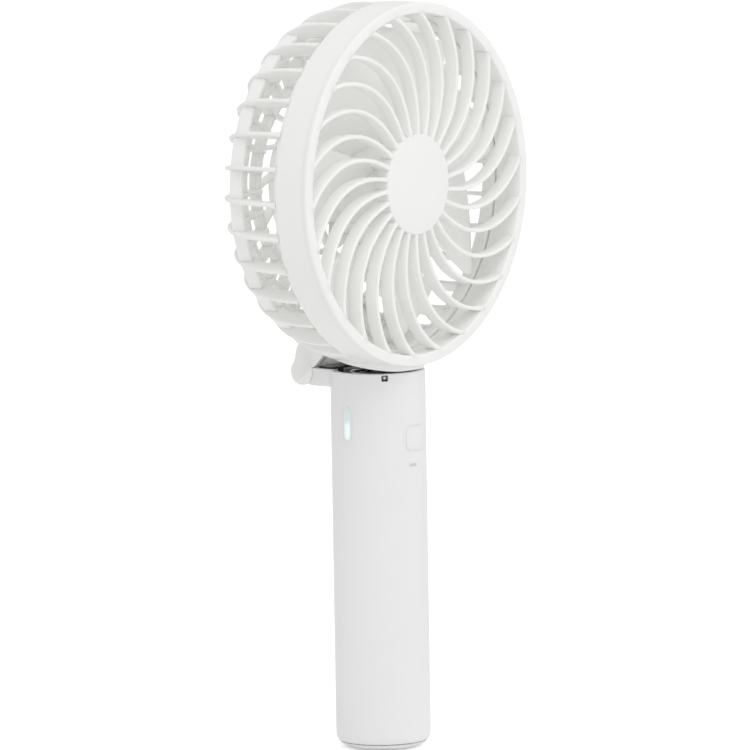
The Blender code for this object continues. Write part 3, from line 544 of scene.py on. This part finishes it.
LED_BODY = finish("led_body", (0.74, 0.74, 0.62), (0.82, 0.82, 0.72), 0.25, blotch_mm=1.0)
SMOKE = finish("smoke_window", (0.62, 0.63, 0.63), (0.68, 0.69, 0.69), 0.22, blotch_mm=1.0)
TEAL = teal_light()

PAINT = {
    "shell_white": SHELL_WHITE, "head_white": HEAD_WHITE, "impeller_white": FAN_WHITE,
    "black_plastic": BLACK, "chassis_grey": GREY, "steel": STEEL, "zinc_steel": ZINC,
    "copper": COPPER, "brass_bush": BRASS, "nickel": NICKEL, "ferrite": FERRITE,
    "carbon": CARBON, "board_green": BOARD, "cell_sleeve": SLEEVE, "red_wire": RED_WIRE,
    "black_wire": BLACK_WIRE, "white_wire": WHITE_WIRE, "nylon": NYLON, "led_body": LED_BODY,
    "teal_lens": TEAL, "smoke_window": SMOKE,
}


# ------------------------------------------------------------------ handle

def casing_radius(height):
    """Outer radius of the handle's rounded bottom at a height."""
    drop = max(BOTTOM_ROUNDING - height, 0.0)
    return HANDLE_R - BOTTOM_ROUNDING + sqrt(BOTTOM_ROUNDING ** 2 - drop ** 2)


def handle_tube():
    profile = soften([(HANDLE_BORE, HANDLE_TOP, 0.2), (HANDLE_R, HANDLE_TOP, 0.5),
                      (HANDLE_R, HANDLE_TOP - 4.0)], False, 6)
    rows = 26
    for i in range(1, rows):
        profile.append((HANDLE_R, HANDLE_TOP - 4.0 - (HANDLE_TOP - 4.0 - BOTTOM_ROUNDING) * i / rows))
    profile += [(casing_radius(z), z) for z in (4.1, 3.7, 3.3, 2.9, 2.5, 2.15, TUBE_LOW + 0.06)]
    profile += [(casing_radius(TUBE_LOW) - 0.07, TUBE_LOW), (HANDLE_BORE, TUBE_LOW)]
    form = bmesh.new()
    lathe(form, profile, "Z", (0, 0, 0), 176, closed=True)
    button = rounded_rectangle(0, BUTTON_Z, 8.27, 7.07, 1.58)
    dash = rounded_rectangle((DASH_LOW.x + DASH_HIGH.x) / 2, (DASH_LOW.z + DASH_HIGH.z) / 2,
                             2.81, 0.68, 0.32)
    port = rounded_rectangle(0, (PORT_LOW.z + PORT_HIGH.z) / 2, 8.1, 3.2, 1.25)
    lens = rounded_rectangle(0, LIGHT_Z, 3.05, 10.05, 1.47)
    notch = rounded_rectangle(0, 108.75, 1.95, 1.8, 0.35)
    form = hollow(
        form,
        lambda f: slab(f, button, -15, -9, "Y"),
        lambda f: slab(f, dash, -15, -9, "Y"),
        lambda f: slab(f, port, 9, 15, "Y"),
        lambda f: slab(f, lens, -15, -9, "Y", LIGHT_ANGLE),
        lambda f: slab(f, notch, -15, -9, "Y", -44.0),
        lambda f: slab(f, notch, -15, -9, "Y", 44.0),
        lambda f: slab(f, rounded_rectangle(0, 109.0, 20.06, 7.66, 0.3), 3, 20, "Y"))
    finish_piece("casing", form, SHELL_WHITE, "handle", ["handle_tube"], 30)


def bottom_cap():
    profile = [(0, 4.6)] + soften([(0, 4.6), (11.8, 4.6, 0.3), (11.8, CAP_HIGH)], False)[1:]
    profile += [(casing_radius(CAP_HIGH) - 0.07, CAP_HIGH)]
    heights = [CAP_HIGH - 0.07, 1.25, 1.0, 0.75, 0.5, 0.3, 0.15, 0.05, 0.0]
    profile += [(casing_radius(z), z) for z in heights] + [(4.0, 0.0), (0, 0.0)]
    form = bmesh.new()
    lathe(form, profile, "Z", (0, 0, 0), 160)
    finish_piece("base_cap", form, SHELL_WHITE, "handle", ["bottom_cap"], 40)


def hinge_block():
    """Arm and tongue at the top of the handle, on the plug inside the casing."""
    form = bmesh.new()
    outline = [(8.5, 105.2, 0.3), (17.0, 105.2, 0.3), (17.8, 106.2, 0.3), (17.8, 110.3, 0.2),
               (8.5, 110.3, 0.3)]
    slab(form, soften(outline, True, 4), -HINGE_HALF, HINGE_HALF, "X")
    inner = TONGUE_HALF + 0.3
    form = hollow(
        form,
        lambda f: lathe(f, [(0, inner), (KNUCKLE_R + 0.3, inner), (KNUCKLE_R + 0.3, 12), (0, 12)],
                        "X", (0, HINGE_Y, HINGE_Z), 96),
        lambda f: lathe(f, [(0, -12), (KNUCKLE_R + 0.3, -12), (KNUCKLE_R + 0.3, -inner),
                            (0, -inner)], "X", (0, HINGE_Y, HINGE_Z), 96))
    form = bevelled(form, 0.22)
    tongue = bmesh.new()
    outline = [(14.5, 109.9), (14.5, 105.7)]
    outline += arc(HINGE_Y, HINGE_Z, KNUCKLE_R, -122.2, 166.5, 56)
    slab(tongue, outline, -TONGUE_HALF, TONGUE_HALF, "X")
    tongue = hollow(tongue, lambda f: lathe(f, [(0, -9), (1.58, -9), (1.58, 9), (0, 9)], "X",
                                            (0, HINGE_Y, HINGE_Z), 48))
    add(form, bevelled(tongue, 0.25))
    plug = bmesh.new()
    lathe(plug, soften([(0, 104.3), (11.8, 104.3, 0.3), (11.8, 106.6, 0.3), (0, 106.6)], False),
          "Z", (0, 0, 0), 120)
    plug = hollow(plug, *[lambda f, s=s: lathe(
        f, [(0, 107.5), (2.0, 107.5), (2.0, 105.4), (1.05, 105.4), (1.05, 103), (0, 103)], "Z",
        (6.6 * s, -6.6, 0), 32) for s in (-1, 1)])
    add(form, plug)
    finish_piece("hinge_arm", form, SHELL_WHITE, "handle", ["hinge_block"], 35)


def top_plate():
    radius = HANDLE_BORE - 0.1
    corner = degrees(asin(8.35 / radius))
    outline = arc(0, 0, radius, 180 - corner, 360 + corner, 120)
    form = bmesh.new()
    slab(form, outline, 106.9, 108.2, "Z")
    # The black pad over the arm's top, held by the two posts below, is painted shade: it darkens the gap under the
    # head, where the white arm lies in shadow.
    slab(form, rounded_rectangle(0, 11.65, 18.8, 5.9, 0.6, 6), 110.4, 110.9, "Z")
    for side in (-7.05, 7.05):
        slab(form, rounded_rectangle(side, 8.05, 2.1, 0.5, 0.1, 3), 107.6, 110.85, "Z")
        slab(form, rounded_rectangle(side, 8.8, 2.0, 1.5, 0.2, 3), 110.45, 110.85, "Z")
    finish_piece("closing_plate_and_shade_pad", form, BLACK, "handle", ["top_plate"], 35, 0.2)


def hanging_clip():
    low, high = node_box("hanging_clip")
    level = high.z - 0.6
    half = [(-9.15, -9.45, level - 0.4), (-8.5, -8.8, level - 0.4), (-7.8, -8.0, level - 0.35),
            (-7.75, -6.9, level - 0.25), (-8.2, -4.5, level)]
    bow = [(u, v, level) for u, v in arc(0, -0.4, 8.2, 180, 0, 16)]
    path = half + bow + [(-x, y, z) for x, y, z in reversed(half)]
    form = bmesh.new()
    tube(form, smooth_path(path, 5), 0.6)
    finish_piece("wire_clip", form, STEEL, "clip", ["hanging_clip"], 60)


def power_button():
    form = bmesh.new()
    slab(form, rounded_rectangle(0, BUTTON_Z, 8.2, 7.0, 1.55, 10), -15, -10.3, "Y")
    dome = bmesh.new()
    rows = 24
    profile = [(0, 80)] + [(HANDLE_R + 0.12, 80 + 22 * i / rows) for i in range(rows + 1)] + [(0, 102)]
    lathe(dome, profile, "Z", (0, 0, 0), 200)
    face = as_object("face", form)
    tool = as_object("dome", dome)
    boolean = face.modifiers.new("round", "BOOLEAN")
    boolean.operation = "INTERSECT"
    boolean.solver = "EXACT"
    boolean.object = tool
    round_edges(face, 0.09)
    shaped = evaluated(face)
    bpy.data.objects.remove(face, do_unlink=True)
    bpy.data.objects.remove(tool, do_unlink=True)
    flange = bmesh.new()
    slab(flange, rounded_rectangle(0, BUTTON_Z, 9.8, 9.0, 1.5), -10.5, -9.6, "Y")
    add(shaped, bevelled(flange, 0.15))
    stem = soften([(0, -9.9), (1.6, -9.9), (1.6, -3.4, 0.2), (0, -3.4)], False)
    lathe(shaped, stem, "Y", (0, 0, BUTTON_Z), 40)
    finish_piece("button_cap", shaped, SHELL_WHITE, "button", ["power_button"], 35)


def windows():
    """The lit lens and the charge slot, cut to the casing's round face."""
    lens = rounded_rectangle(0, LIGHT_Z, 3.0, 10.0, 1.45, 12)
    dash = rounded_rectangle((DASH_LOW.x + DASH_HIGH.x) / 2, (DASH_LOW.z + DASH_HIGH.z) / 2,
                             2.75, 0.62, 0.3)
    for name, outline, depth, turn, radius, paint, slot, node in (
            ("light_window", lens, -11.2, LIGHT_ANGLE, HANDLE_R - 0.02, TEAL, "teal_lens",
             "light_lens"),
            ("charge_window", dash, -12.3, 0.0, HANDLE_R - 0.05, SMOKE, "smoke_window",
             "charge_indicator")):
        form = bmesh.new()
        slab(form, outline, -14.6, depth, "Y", turn)
        face = as_object("face", form)
        round_form = bmesh.new()
        lathe(round_form, [(0, 75)] + [(radius, 75 + 2 * i) for i in range(16)] + [(0, 105)], "Z",
              (0, 0, 0), 220)
        tool = as_object("round", round_form)
        boolean = face.modifiers.new("round", "BOOLEAN")
        boolean.operation = "INTERSECT"
        boolean.solver = "EXACT"
        boolean.object = tool
        shaped = evaluated(face)
        bpy.data.objects.remove(face, do_unlink=True)
        bpy.data.objects.remove(tool, do_unlink=True)
        finish_piece(name, shaped, paint, "handle", [node], 35)


def charging_port():
    z = (PORT_LOW.z + PORT_HIGH.z) / 2
    form = bmesh.new()
    slab(form, rounded_rectangle(0, z, 7.6, 2.7, 1.1, 10), PORT_LOW.y, PORT_HIGH.y, "Y")
    inner = rounded_rectangle(0, z, 6.95, 2.05, 0.85, 10)
    form = hollow(form, lambda f: slab(f, inner, PORT_LOW.y + 0.6, PORT_HIGH.y + 2, "Y"))
    finish_piece("port_shell", bevelled(form, 0.07, 2), STEEL, "handle", ["usb_port"], 35)
    form = bmesh.new()
    slab(form, rounded_rectangle(0, z, 5.0, 0.7, 0.2, 4), 4.0, 12.3, "Y")
    finish_piece("port_tongue", bevelled(form, 0.1, 2), BLACK, "handle",
                 ["usb_tongue"], 35)


# ------------------------------------------------------------------ head

def fin_angle(radius, start):
    """Angle of a grille fin's centre line at a radius, in degrees."""
    share = (radius - HUB_R) / (LIP_INNER - HUB_R)
    return start + FIN_SWEEP * max(share, 0.0) ** FIN_POWER


def front_grille():
    head = (0, 0, HEAD_Z)
    form = bmesh.new()
    lip = [(SKIRT_R, -7.0, 0.2), (SKIRT_R, FRONT_Y + 1.6, 0.0), (HEAD_R, FRONT_Y + 1.6, 0.04),
           (HEAD_R, FRONT_Y, 0.5), (LIP_INNER, FRONT_Y, 0.45), (LIP_INNER, -7.0, 0.2)]
    lathe(form, soften(lip, True, 8), "Y", head, 256, closed=True)
    steps = 30
    inner, outer = HUB_R - 0.6, LIP_INNER + 0.5
    radii = [inner + (outer - inner) * i / steps for i in range(steps + 1)]
    for number in range(FIN_COUNT):
        start = FIN_START + 360 * number / FIN_COUNT
        ladder = [(on_head(r, fin_angle(r, start), FRONT_Y + 0.08),
                   on_head(r, fin_angle(r, start), FRONT_Y + FIN_DEPTH)) for r in radii]
        bar(form, ladder, FIN_THICKNESS, 0.45, flare=0.55)
    boss = [(HUB_R + 0.05, FRONT_Y + 1.2, 0.1), (HUB_R + 0.05, FRONT_Y + 4.7, 0.35),
            (12.6, FRONT_Y + 4.7, 0.35), (12.6, FRONT_Y + 1.2, 0.1)]
    lathe(form, soften(boss, True, 4), "Y", head, 128, closed=True)
    finish_piece("grille", form, HEAD_WHITE, "head", ["front_grille"], 40)


def hub_cap():
    edge = HUB_R
    profile = soften([(0, FRONT_Y + 1.15), (edge, FRONT_Y + 1.15, 0.1), (edge, FRONT_Y, 0.4),
                      (4.0, FRONT_Y), (0, FRONT_Y)], False, 6)
    form = bmesh.new()
    lathe(form, profile, "Y", (0, 0, HEAD_Z), 144)
    finish_piece("hub_disc", form, HEAD_WHITE, "head", ["hub_cap"], 40)


def head_band():
    front = FRONT_Y + 1.61
    profile = [(HEAD_R, BAND_REAR_Y, 0.55), (HEAD_R, front, 0.04), (SKIRT_R + 0.1, front),
               (SKIRT_R + 0.1, BAND_REAR_Y, 0.3)]
    form = bmesh.new()
    lathe(form, soften(profile, True, 8), "Y", (0, 0, HEAD_Z), 256, closed=True)
    add(form, foot(-20.0, BAND_REAR_Y))
    finish_piece("band", form, HEAD_WHITE, "head", ["head_band"], 40)


def foot(front, rear):
    """Slice of the wedge under the head that closes over the front of the handle's rim."""
    form = bmesh.new()
    profile = [(0, FOOT_Z - 3)] + [(FOOT_R, FOOT_Z - 3 + 0.7 * i) for i in range(11)]
    lathe(form, profile + [(0, FOOT_Z + 4)], "Z", (0, 0, 0), 160)
    slope = tan(radians(FOOT_TILT))
    under = soften([(-30.0, FOOT_Z - 6.0), (30.0, FOOT_Z - 6.0), (30.0, FOOT_Z + 41.8 * slope),
                    (-11.8, FOOT_Z, 12.0), (-30.0, FOOT_Z)], True, 8)
    form = hollow(
        form,
        lambda f: slab(f, under, -20, 20, "X"),
        lambda f: lathe(f, [(0, -30), (SKIRT_R + 0.9, -30), (SKIRT_R + 0.9, 30), (0, 30)], "Y",
                        (0, 0, HEAD_Z), 220),
        lambda f: slab(f, [(-30, 90), (30, 90), (30, 130), (-30, 130)], -40, front, "Y"),
        lambda f: slab(f, [(-30, 90), (30, 90), (30, 130), (-30, 130)], rear, 40, "Y"))
    return form


def dome_profile(inset, steps):
    """(radius, y) along the ribs' curved edge, from the band to the mid ring."""
    centre_r = DOME_R - DOME_CORNER_R
    points = [(DOME_R - inset, BAND_REAR_Y + 0.3), (DOME_R - inset, -2.2)]
    for i in range(steps + 1):
        angle = pi / 2 * i / steps
        points.append((centre_r + (DOME_CORNER_R - inset) * cos(angle),
                       DOME_START_Y + (DOME_CORNER_Y - inset) * sin(angle)))
    return points


def rear_cage():
    head = (0, 0, HEAD_Z)
    form = bmesh.new()
    outer = dome_profile(0.0, 22) + [(MID_RING_R + 4, REAR_Y), (MID_RING_R - 0.4, REAR_Y)]
    inner = dome_profile(RIB_DEPTH, 22)
    inner += [(MID_RING_R + 4, inner[-1][1]), (MID_RING_R - 0.4, inner[-1][1])]
    for number in range(RIB_COUNT):
        angle = RIB_START + 360 * number / RIB_COUNT
        ladder = [(on_head(ra, angle, ya), on_head(rb, angle, yb))
                  for (ra, ya), (rb, yb) in zip(outer, inner)]
        side = Vector((-sin(radians(angle)), 0, cos(radians(angle))))
        bar(form, ladder, RIB_THICKNESS, 0.5, flare=0.4, across=side)
    for corners, steps in (
            ([(SKIRT_R + 0.1, -6.6, 0.3), (SKIRT_R + 0.1, -2.6, 0.3), (48.4, -2.6, 0.3),
              (48.4, -6.6, 0.3)], 192),
            ([(48.2, 11.0, 0.4), (48.2, 15.4, 0.4), (46.8, 15.4, 0.4), (46.8, 11.0, 0.4)], 192),
            ([(MID_RING_R + 0.6, REAR_Y - 3.5, 0.5), (MID_RING_R + 0.6, REAR_Y, 0.6),
              (MID_RING_R - 1.4, REAR_Y, 0.6), (MID_RING_R - 1.4, REAR_Y - 3.5, 0.5)], 144)):
        lathe(form, soften(corners, True, 5), "Y", head, steps, closed=True)
    for radius, back, depth in REAR_RINGS:
        corners = [(radius + 0.7, back - depth, 0.4), (radius + 0.7, back, 0.4),
                   (radius - 0.7, back, 0.4), (radius - 0.7, back - depth, 0.4)]
        lathe(form, soften(corners, True, 5), "Y", head, 192, closed=True)
    for number in range(16):
        ladder = []
        start, end, steps = MID_RING_R - 0.9, CUP_R - 0.5, 16
        for i in range(steps + 1):
            radius = start + (end - start) * i / steps
            turn = 360 * number / 16 - 26.0 * (i / steps) ** 1.4
            ladder.append((on_head(radius, turn, REAR_Y - 0.1), on_head(radius, turn, REAR_Y - 3.2)))
        bar(form, ladder, 1.2, 0.5, flare=0.5)
    cup = [(CUP_R, REAR_Y, 0.6), (CUP_R, 5.6, 0.5), (CUP_BORE, 5.6, 0.4), (CUP_BORE, 17.0, 0.3),
           (2.2, 17.0, 0.2), (2.2, 18.6, 0.2), (CUP_BORE, 18.6, 0.3), (CUP_BORE, REAR_Y, 0.3)]
    lathe(form, soften(cup, True, 5), "Y", head, 128, closed=True)
    add(form, saddle())
    add(form, foot(BAND_REAR_Y + 0.02, 8.0))
    for sign in (-1, 1):
        add(form, ear(sign))
    finish_piece("cage", form, HEAD_WHITE, "head", ["rear_cage"], 40)


def saddle():
    """Skin over the lowest ribs that carries the hinge ears."""
    outer = dome_profile(-0.25, 20)
    inner = dome_profile(2.75, 20)
    form = bmesh.new()
    lathe(form, outer + list(reversed(inner)), "Y", (0, 0, HEAD_Z), 40, closed=True,
          span=(-114.0, -66.0))
    return bevelled(form, 0.6, 4)


def ear(sign):
    """Hinge ear: one outline from the barrel up into the saddle."""
    near = TONGUE_HALF + 0.6
    low, high = sorted((sign * near, sign * HINGE_HALF))
    outline = soften([(15.9, 110.6, 0.8), (12.4, 113.9, 1.5), (12.4, 118.0), (19.0, 120.5),
                      (21.9, 116.0, 3.0), (23.0, 111.8)], False, 8)
    outline += arc(HINGE_Y, HINGE_Z, KNUCKLE_R, 18, -206, 64)
    form = bmesh.new()
    slab(form, outline, low, high, "X")
    form = hollow(form, lambda f: lathe(f, [(0, -9), (1.58, -9), (1.58, 12), (0, 12)], "X",
                                        (0, HINGE_Y, HINGE_Z), 48))
    return bevelled(form, 0.35, 4)


def rear_cap():
    edge = CUP_BORE - 0.15
    profile = soften([(0, REAR_Y - 1.7), (edge, REAR_Y - 1.7, 0.2), (edge, REAR_Y, 0.5),
                      (edge - 1.6, REAR_Y, 0.3), (edge - 2.0, REAR_Y - 0.25, 0.3),
                      (3.0, REAR_Y - 0.25), (0, REAR_Y - 0.25)], False, 5)
    form = bmesh.new()
    lathe(form, profile, "Y", (0, 0, HEAD_Z), 128)
    finish_piece("rear_disc", form, HEAD_WHITE, "head", ["rear_cap"], 40)


def blade(form, turn):
    """One broad impeller blade: a thin section swept out from the hub, with a rounded tip."""
    stations, chord_steps = 26, 24
    rings = []
    for i in range(stations + 1):
        s = i / stations
        radius = 12.4 + (IMPELLER_R - 12.4) * s
        tip = sqrt(max(1 - max((s - 0.86) / 0.14, 0.0) ** 2.4, 0.0))
        span, depth = 38.0 + 10.0 * s, 11.0 + 1.0 * s
        lean = 10.0 * s ** 1.5
        pitch = atan2(depth, radians(span) * radius)
        upper, lower = [], []
        for j in range(chord_steps + 1):
            c = 0.5 - 0.5 * cos(pi * j / chord_steps)
            reach = 0.5 + (c - 0.5) * (0.88 + 0.12 * tip)
            camber = 1.5 * (1 - (2 * reach - 1) ** 2)
            half = 0.16 + 0.42 * (4 * c * (1 - c)) ** 0.35 * (1 - 0.25 * s)
            half *= 0.35 + 0.65 * tip
            for row, offset in ((upper, half), (lower, -half)):
                y = BLADE_FRONT_Y - 0.3 * s + depth * reach + camber + offset * cos(pitch)
                sideways = degrees(offset * sin(pitch) / radius)
                row.append(on_head(radius, turn + lean + (reach - 0.5) * span - sideways, y))
        rings.append([form.verts.new(p * MM) for p in upper + list(reversed(lower))])
    for low, high in zip(rings[:-1], rings[1:]):
        for k in range(len(low)):
            after = (k + 1) % len(low)
            form.faces.new((low[k], low[after], high[after], high[k]))
    form.faces.new(rings[0])
    form.faces.new(list(reversed(rings[-1])))


def impeller():
    cup = soften([(0, -9.2), (1.1, -9.2), (1.1, -5.0, 0.1), (3.0, -5.0, 0.2), (3.0, -9.2, 0.3),
                  (11.7, -9.2, 0.6), (11.7, 5.0, 0.3), (13.0, 5.0, 0.3), (13.0, -10.6, 1.2),
                  (0, -10.6)], False, 6)
    form = bmesh.new()
    lathe(form, cup, "Y", (0, 0, HEAD_Z), 128)
    for number in range(BLADE_COUNT):
        blade(form, BLADE_START + 360 * number / BLADE_COUNT)
    finish_piece("fan_wheel", form, FAN_WHITE, "rotor", ["impeller"], 40)


def hinge_hardware():
    low, high = node_box("hinge_pin_plug")
    at = (0, HINGE_Y, HINGE_Z)
    form = bmesh.new()
    lathe(form, soften([(0, low.x), (1.5, low.x, 0.1), (1.5, high.x, 0.3), (0, high.x)], False),
          "X", at, 64)
    finish_piece("pin_plug", form, HEAD_WHITE, "head", ["hinge_pin_plug"], 40)
    low, high = node_box("hinge_pin")
    form = bmesh.new()
    lathe(form, soften([(0, low.x), (1.5, low.x, 0.3), (1.5, high.x, 0.3), (0, high.x)], False),
          "X", at, 64)
    finish_piece("pin", form, STEEL, "head", ["hinge_pin"], 40)
    for side in ("left", "right"):
        low, high = node_box("friction_washer_" + side)
        ring = [(3.4, low.x, 0.12), (3.4, high.x, 0.12), (1.6, high.x, 0.12), (1.6, low.x, 0.12)]
        form = bmesh.new()
        lathe(form, soften(ring, True, 3), "X", at, 72, closed=True)
        finish_piece("washer_" + side, form, NYLON, "head", ["friction_washer_" + side], 40)


def motor_leads():
    """Two leads from the motor's back down one gap between the ribs."""
    pitch = 360 / RIB_COUNT
    gaps = [RIB_START + pitch * (i + 0.5) for i in range(RIB_COUNT)]
    angle = min(gaps, key=lambda a: abs((a + 90 + 180) % 360 - 180))
    for name, offset in (("positive", -0.85), ("negative", 0.85)):
        side = 3.0 if offset > 0 else -3.0
        knots = [(side, 15.3, HEAD_Z - 1.0), (side * 0.7, 15.8, HEAD_Z - 4.0),
                 (offset, 15.8, HEAD_Z - 9.0), (offset, 15.8, HEAD_Z - 14.5)]
        for radius in (25.0, 41.5):
            x, y, z = on_head(radius, angle, 15.8)
            knots.append((x + offset, y, z))
        form = bmesh.new()
        tube(form, smooth_path(knots, 10), 0.5)
        finish_piece("lead_" + name, form, WHITE_WIRE, "head",
                     ["motor_lead_" + name], 60)


def kept_nodes():
    """CAD nodes that are shown as they are get their finish and softly rounded edges."""
    slots = {row["node"]: row["material_slot"] for row in frame["record"]["subparts"]}
    for name, piece in frame["nodes"].items():
        if piece.hide_render:
            continue
        piece.data.materials.clear()
        piece.data.materials.append(PAINT[slots[name]])
        piece.data.shade_smooth()
        piece.data.set_sharp_from_angle(angle=radians(35))
        round_edges(piece, 0.08, 2)


# ------------------------------------------------------------------ stage

LIGHT_BOUNCES = 14      # white plastic inside a white cage passes light on many times
WORLD_LIGHT = 0.75
WORLD_SLOPE = 0.16
WORLD_BRIGHT_SIDE = (0.56, -0.66, 0.5)
FLOOR_GLOW = 0.38


def floor():
    """A pale sweep with a very faint mottling and a slight glow, so that it stays white."""
    form = bmesh.new()
    bmesh.ops.create_grid(form, x_segments=4, y_segments=4, size=6.0)
    mesh = bpy.data.meshes.new("floor")
    form.to_mesh(mesh)
    form.free()
    piece = bpy.data.objects.new("floor", mesh)
    bpy.context.scene.collection.objects.link(piece)
    paper = finish("paper", (0.94, 0.94, 0.94), (0.95, 0.95, 0.95), 0.9, edge_mm=0, bump=0.02)
    tree, new = node_tools(paper)
    shader = tree.nodes["Principled BSDF"]
    shader.inputs["Emission Color"].default_value = (1, 1, 1, 1)
    rays = new("ShaderNodeLightPath")
    glow = new("ShaderNodeMapRange")
    glow.inputs["To Max"].default_value = FLOOR_GLOW
    tree.links.new(rays.outputs["Is Camera Ray"], glow.inputs["Value"])
    tree.links.new(glow.outputs["Result"], shader.inputs["Emission Strength"])
    mesh.materials.append(paper)
    piece.location.z = -0.0004


def light(name, place, target, size, power, colour=(1, 1, 1)):
    """A square soft box that faces a target."""
    lamp = bpy.data.lights.new(name, "AREA")
    lamp.size = size
    lamp.energy = power
    lamp.color = colour
    box = bpy.data.objects.new(name, lamp)
    box.location = place
    box.rotation_euler = (Vector(target) - Vector(place)).to_track_quat("-Z", "Y").to_euler()
    bpy.context.scene.collection.objects.link(box)


def studio():
    """Two weak soft boxes in a white surround, which the camera sees at full white."""
    floor()
    middle = (0, 0, 0.12)
    light("upper_left", (-0.55, -0.45, 1.05), middle, 0.7, 2.6)
    light("front_right", (0.95, -1.1, 0.4), middle, 0.8, 1.0)
    world = bpy.data.worlds.new("studio")
    tree, new = node_tools(world)
    place = new("ShaderNodeTexCoord")
    slope = new("ShaderNodeVectorMath")
    slope.operation = "DOT_PRODUCT"
    slope.inputs[1].default_value = WORLD_BRIGHT_SIDE
    shade = new("ShaderNodeMapRange")
    shade.inputs["From Min"].default_value = -1.0
    shade.inputs["To Min"].default_value = WORLD_LIGHT * (1 - WORLD_SLOPE)
    shade.inputs["To Max"].default_value = WORLD_LIGHT * (1 + WORLD_SLOPE)
    rays = new("ShaderNodeLightPath")
    level = new("ShaderNodeMix")
    level.inputs[3].default_value = 1.0
    tree.links.new(place.outputs["Generated"], slope.inputs[0])
    tree.links.new(slope.outputs["Value"], shade.inputs["Value"])
    tree.links.new(rays.outputs["Is Camera Ray"], level.inputs[0])
    tree.links.new(shade.outputs["Result"], level.inputs[2])
    tree.links.new(level.outputs[0], tree.nodes["Background"].inputs["Strength"])
    tree.nodes["Background"].inputs["Color"].default_value = (1.0, 1.0, 1.0, 1)
    bpy.context.scene.world = world
    bpy.context.scene.cycles.max_bounces = LIGHT_BOUNCES
    bpy.context.scene.cycles.diffuse_bounces = LIGHT_BOUNCES
    bpy.context.scene.view_settings.view_transform = "Standard"
    bpy.context.scene.view_settings.look = "None"


def camera():
    """Long lens, seen from the front left and a little above."""
    azimuth, elevation, roll = radians(-52.371), radians(6.899), radians(-0.942)
    distance, shift_right, shift_up = 2465.1, -0.803, -0.785
    back = Vector((sin(azimuth) * cos(elevation), -cos(azimuth) * cos(elevation), sin(elevation)))
    right = Vector((cos(azimuth), sin(azimuth), 0))
    up = back.cross(right)
    place = Vector((0, 0, 109.0)) + right * shift_right + up * shift_up + back * distance
    rolled_right = right * cos(roll) + up * sin(roll)
    rolled_up = up * cos(roll) - right * sin(roll)
    turn = Matrix((rolled_right, rolled_up, back)).transposed()
    view = bpy.data.cameras.new("camera")
    view.sensor_width = 36.0
    view.lens = 408.7
    eye = bpy.data.objects.new("camera", view)
    eye.matrix_world = Matrix.Translation(place * MM) @ turn.to_4x4()
    bpy.context.scene.collection.objects.link(eye)
    bpy.context.scene.camera = eye


handle_tube()
bottom_cap()
hinge_block()
top_plate()
hanging_clip()
power_button()
windows()
charging_port()
front_grille()
hub_cap()
head_band()
rear_cage()
rear_cap()
impeller()
hinge_hardware()
motor_leads()
kept_nodes()
studio()
camera()
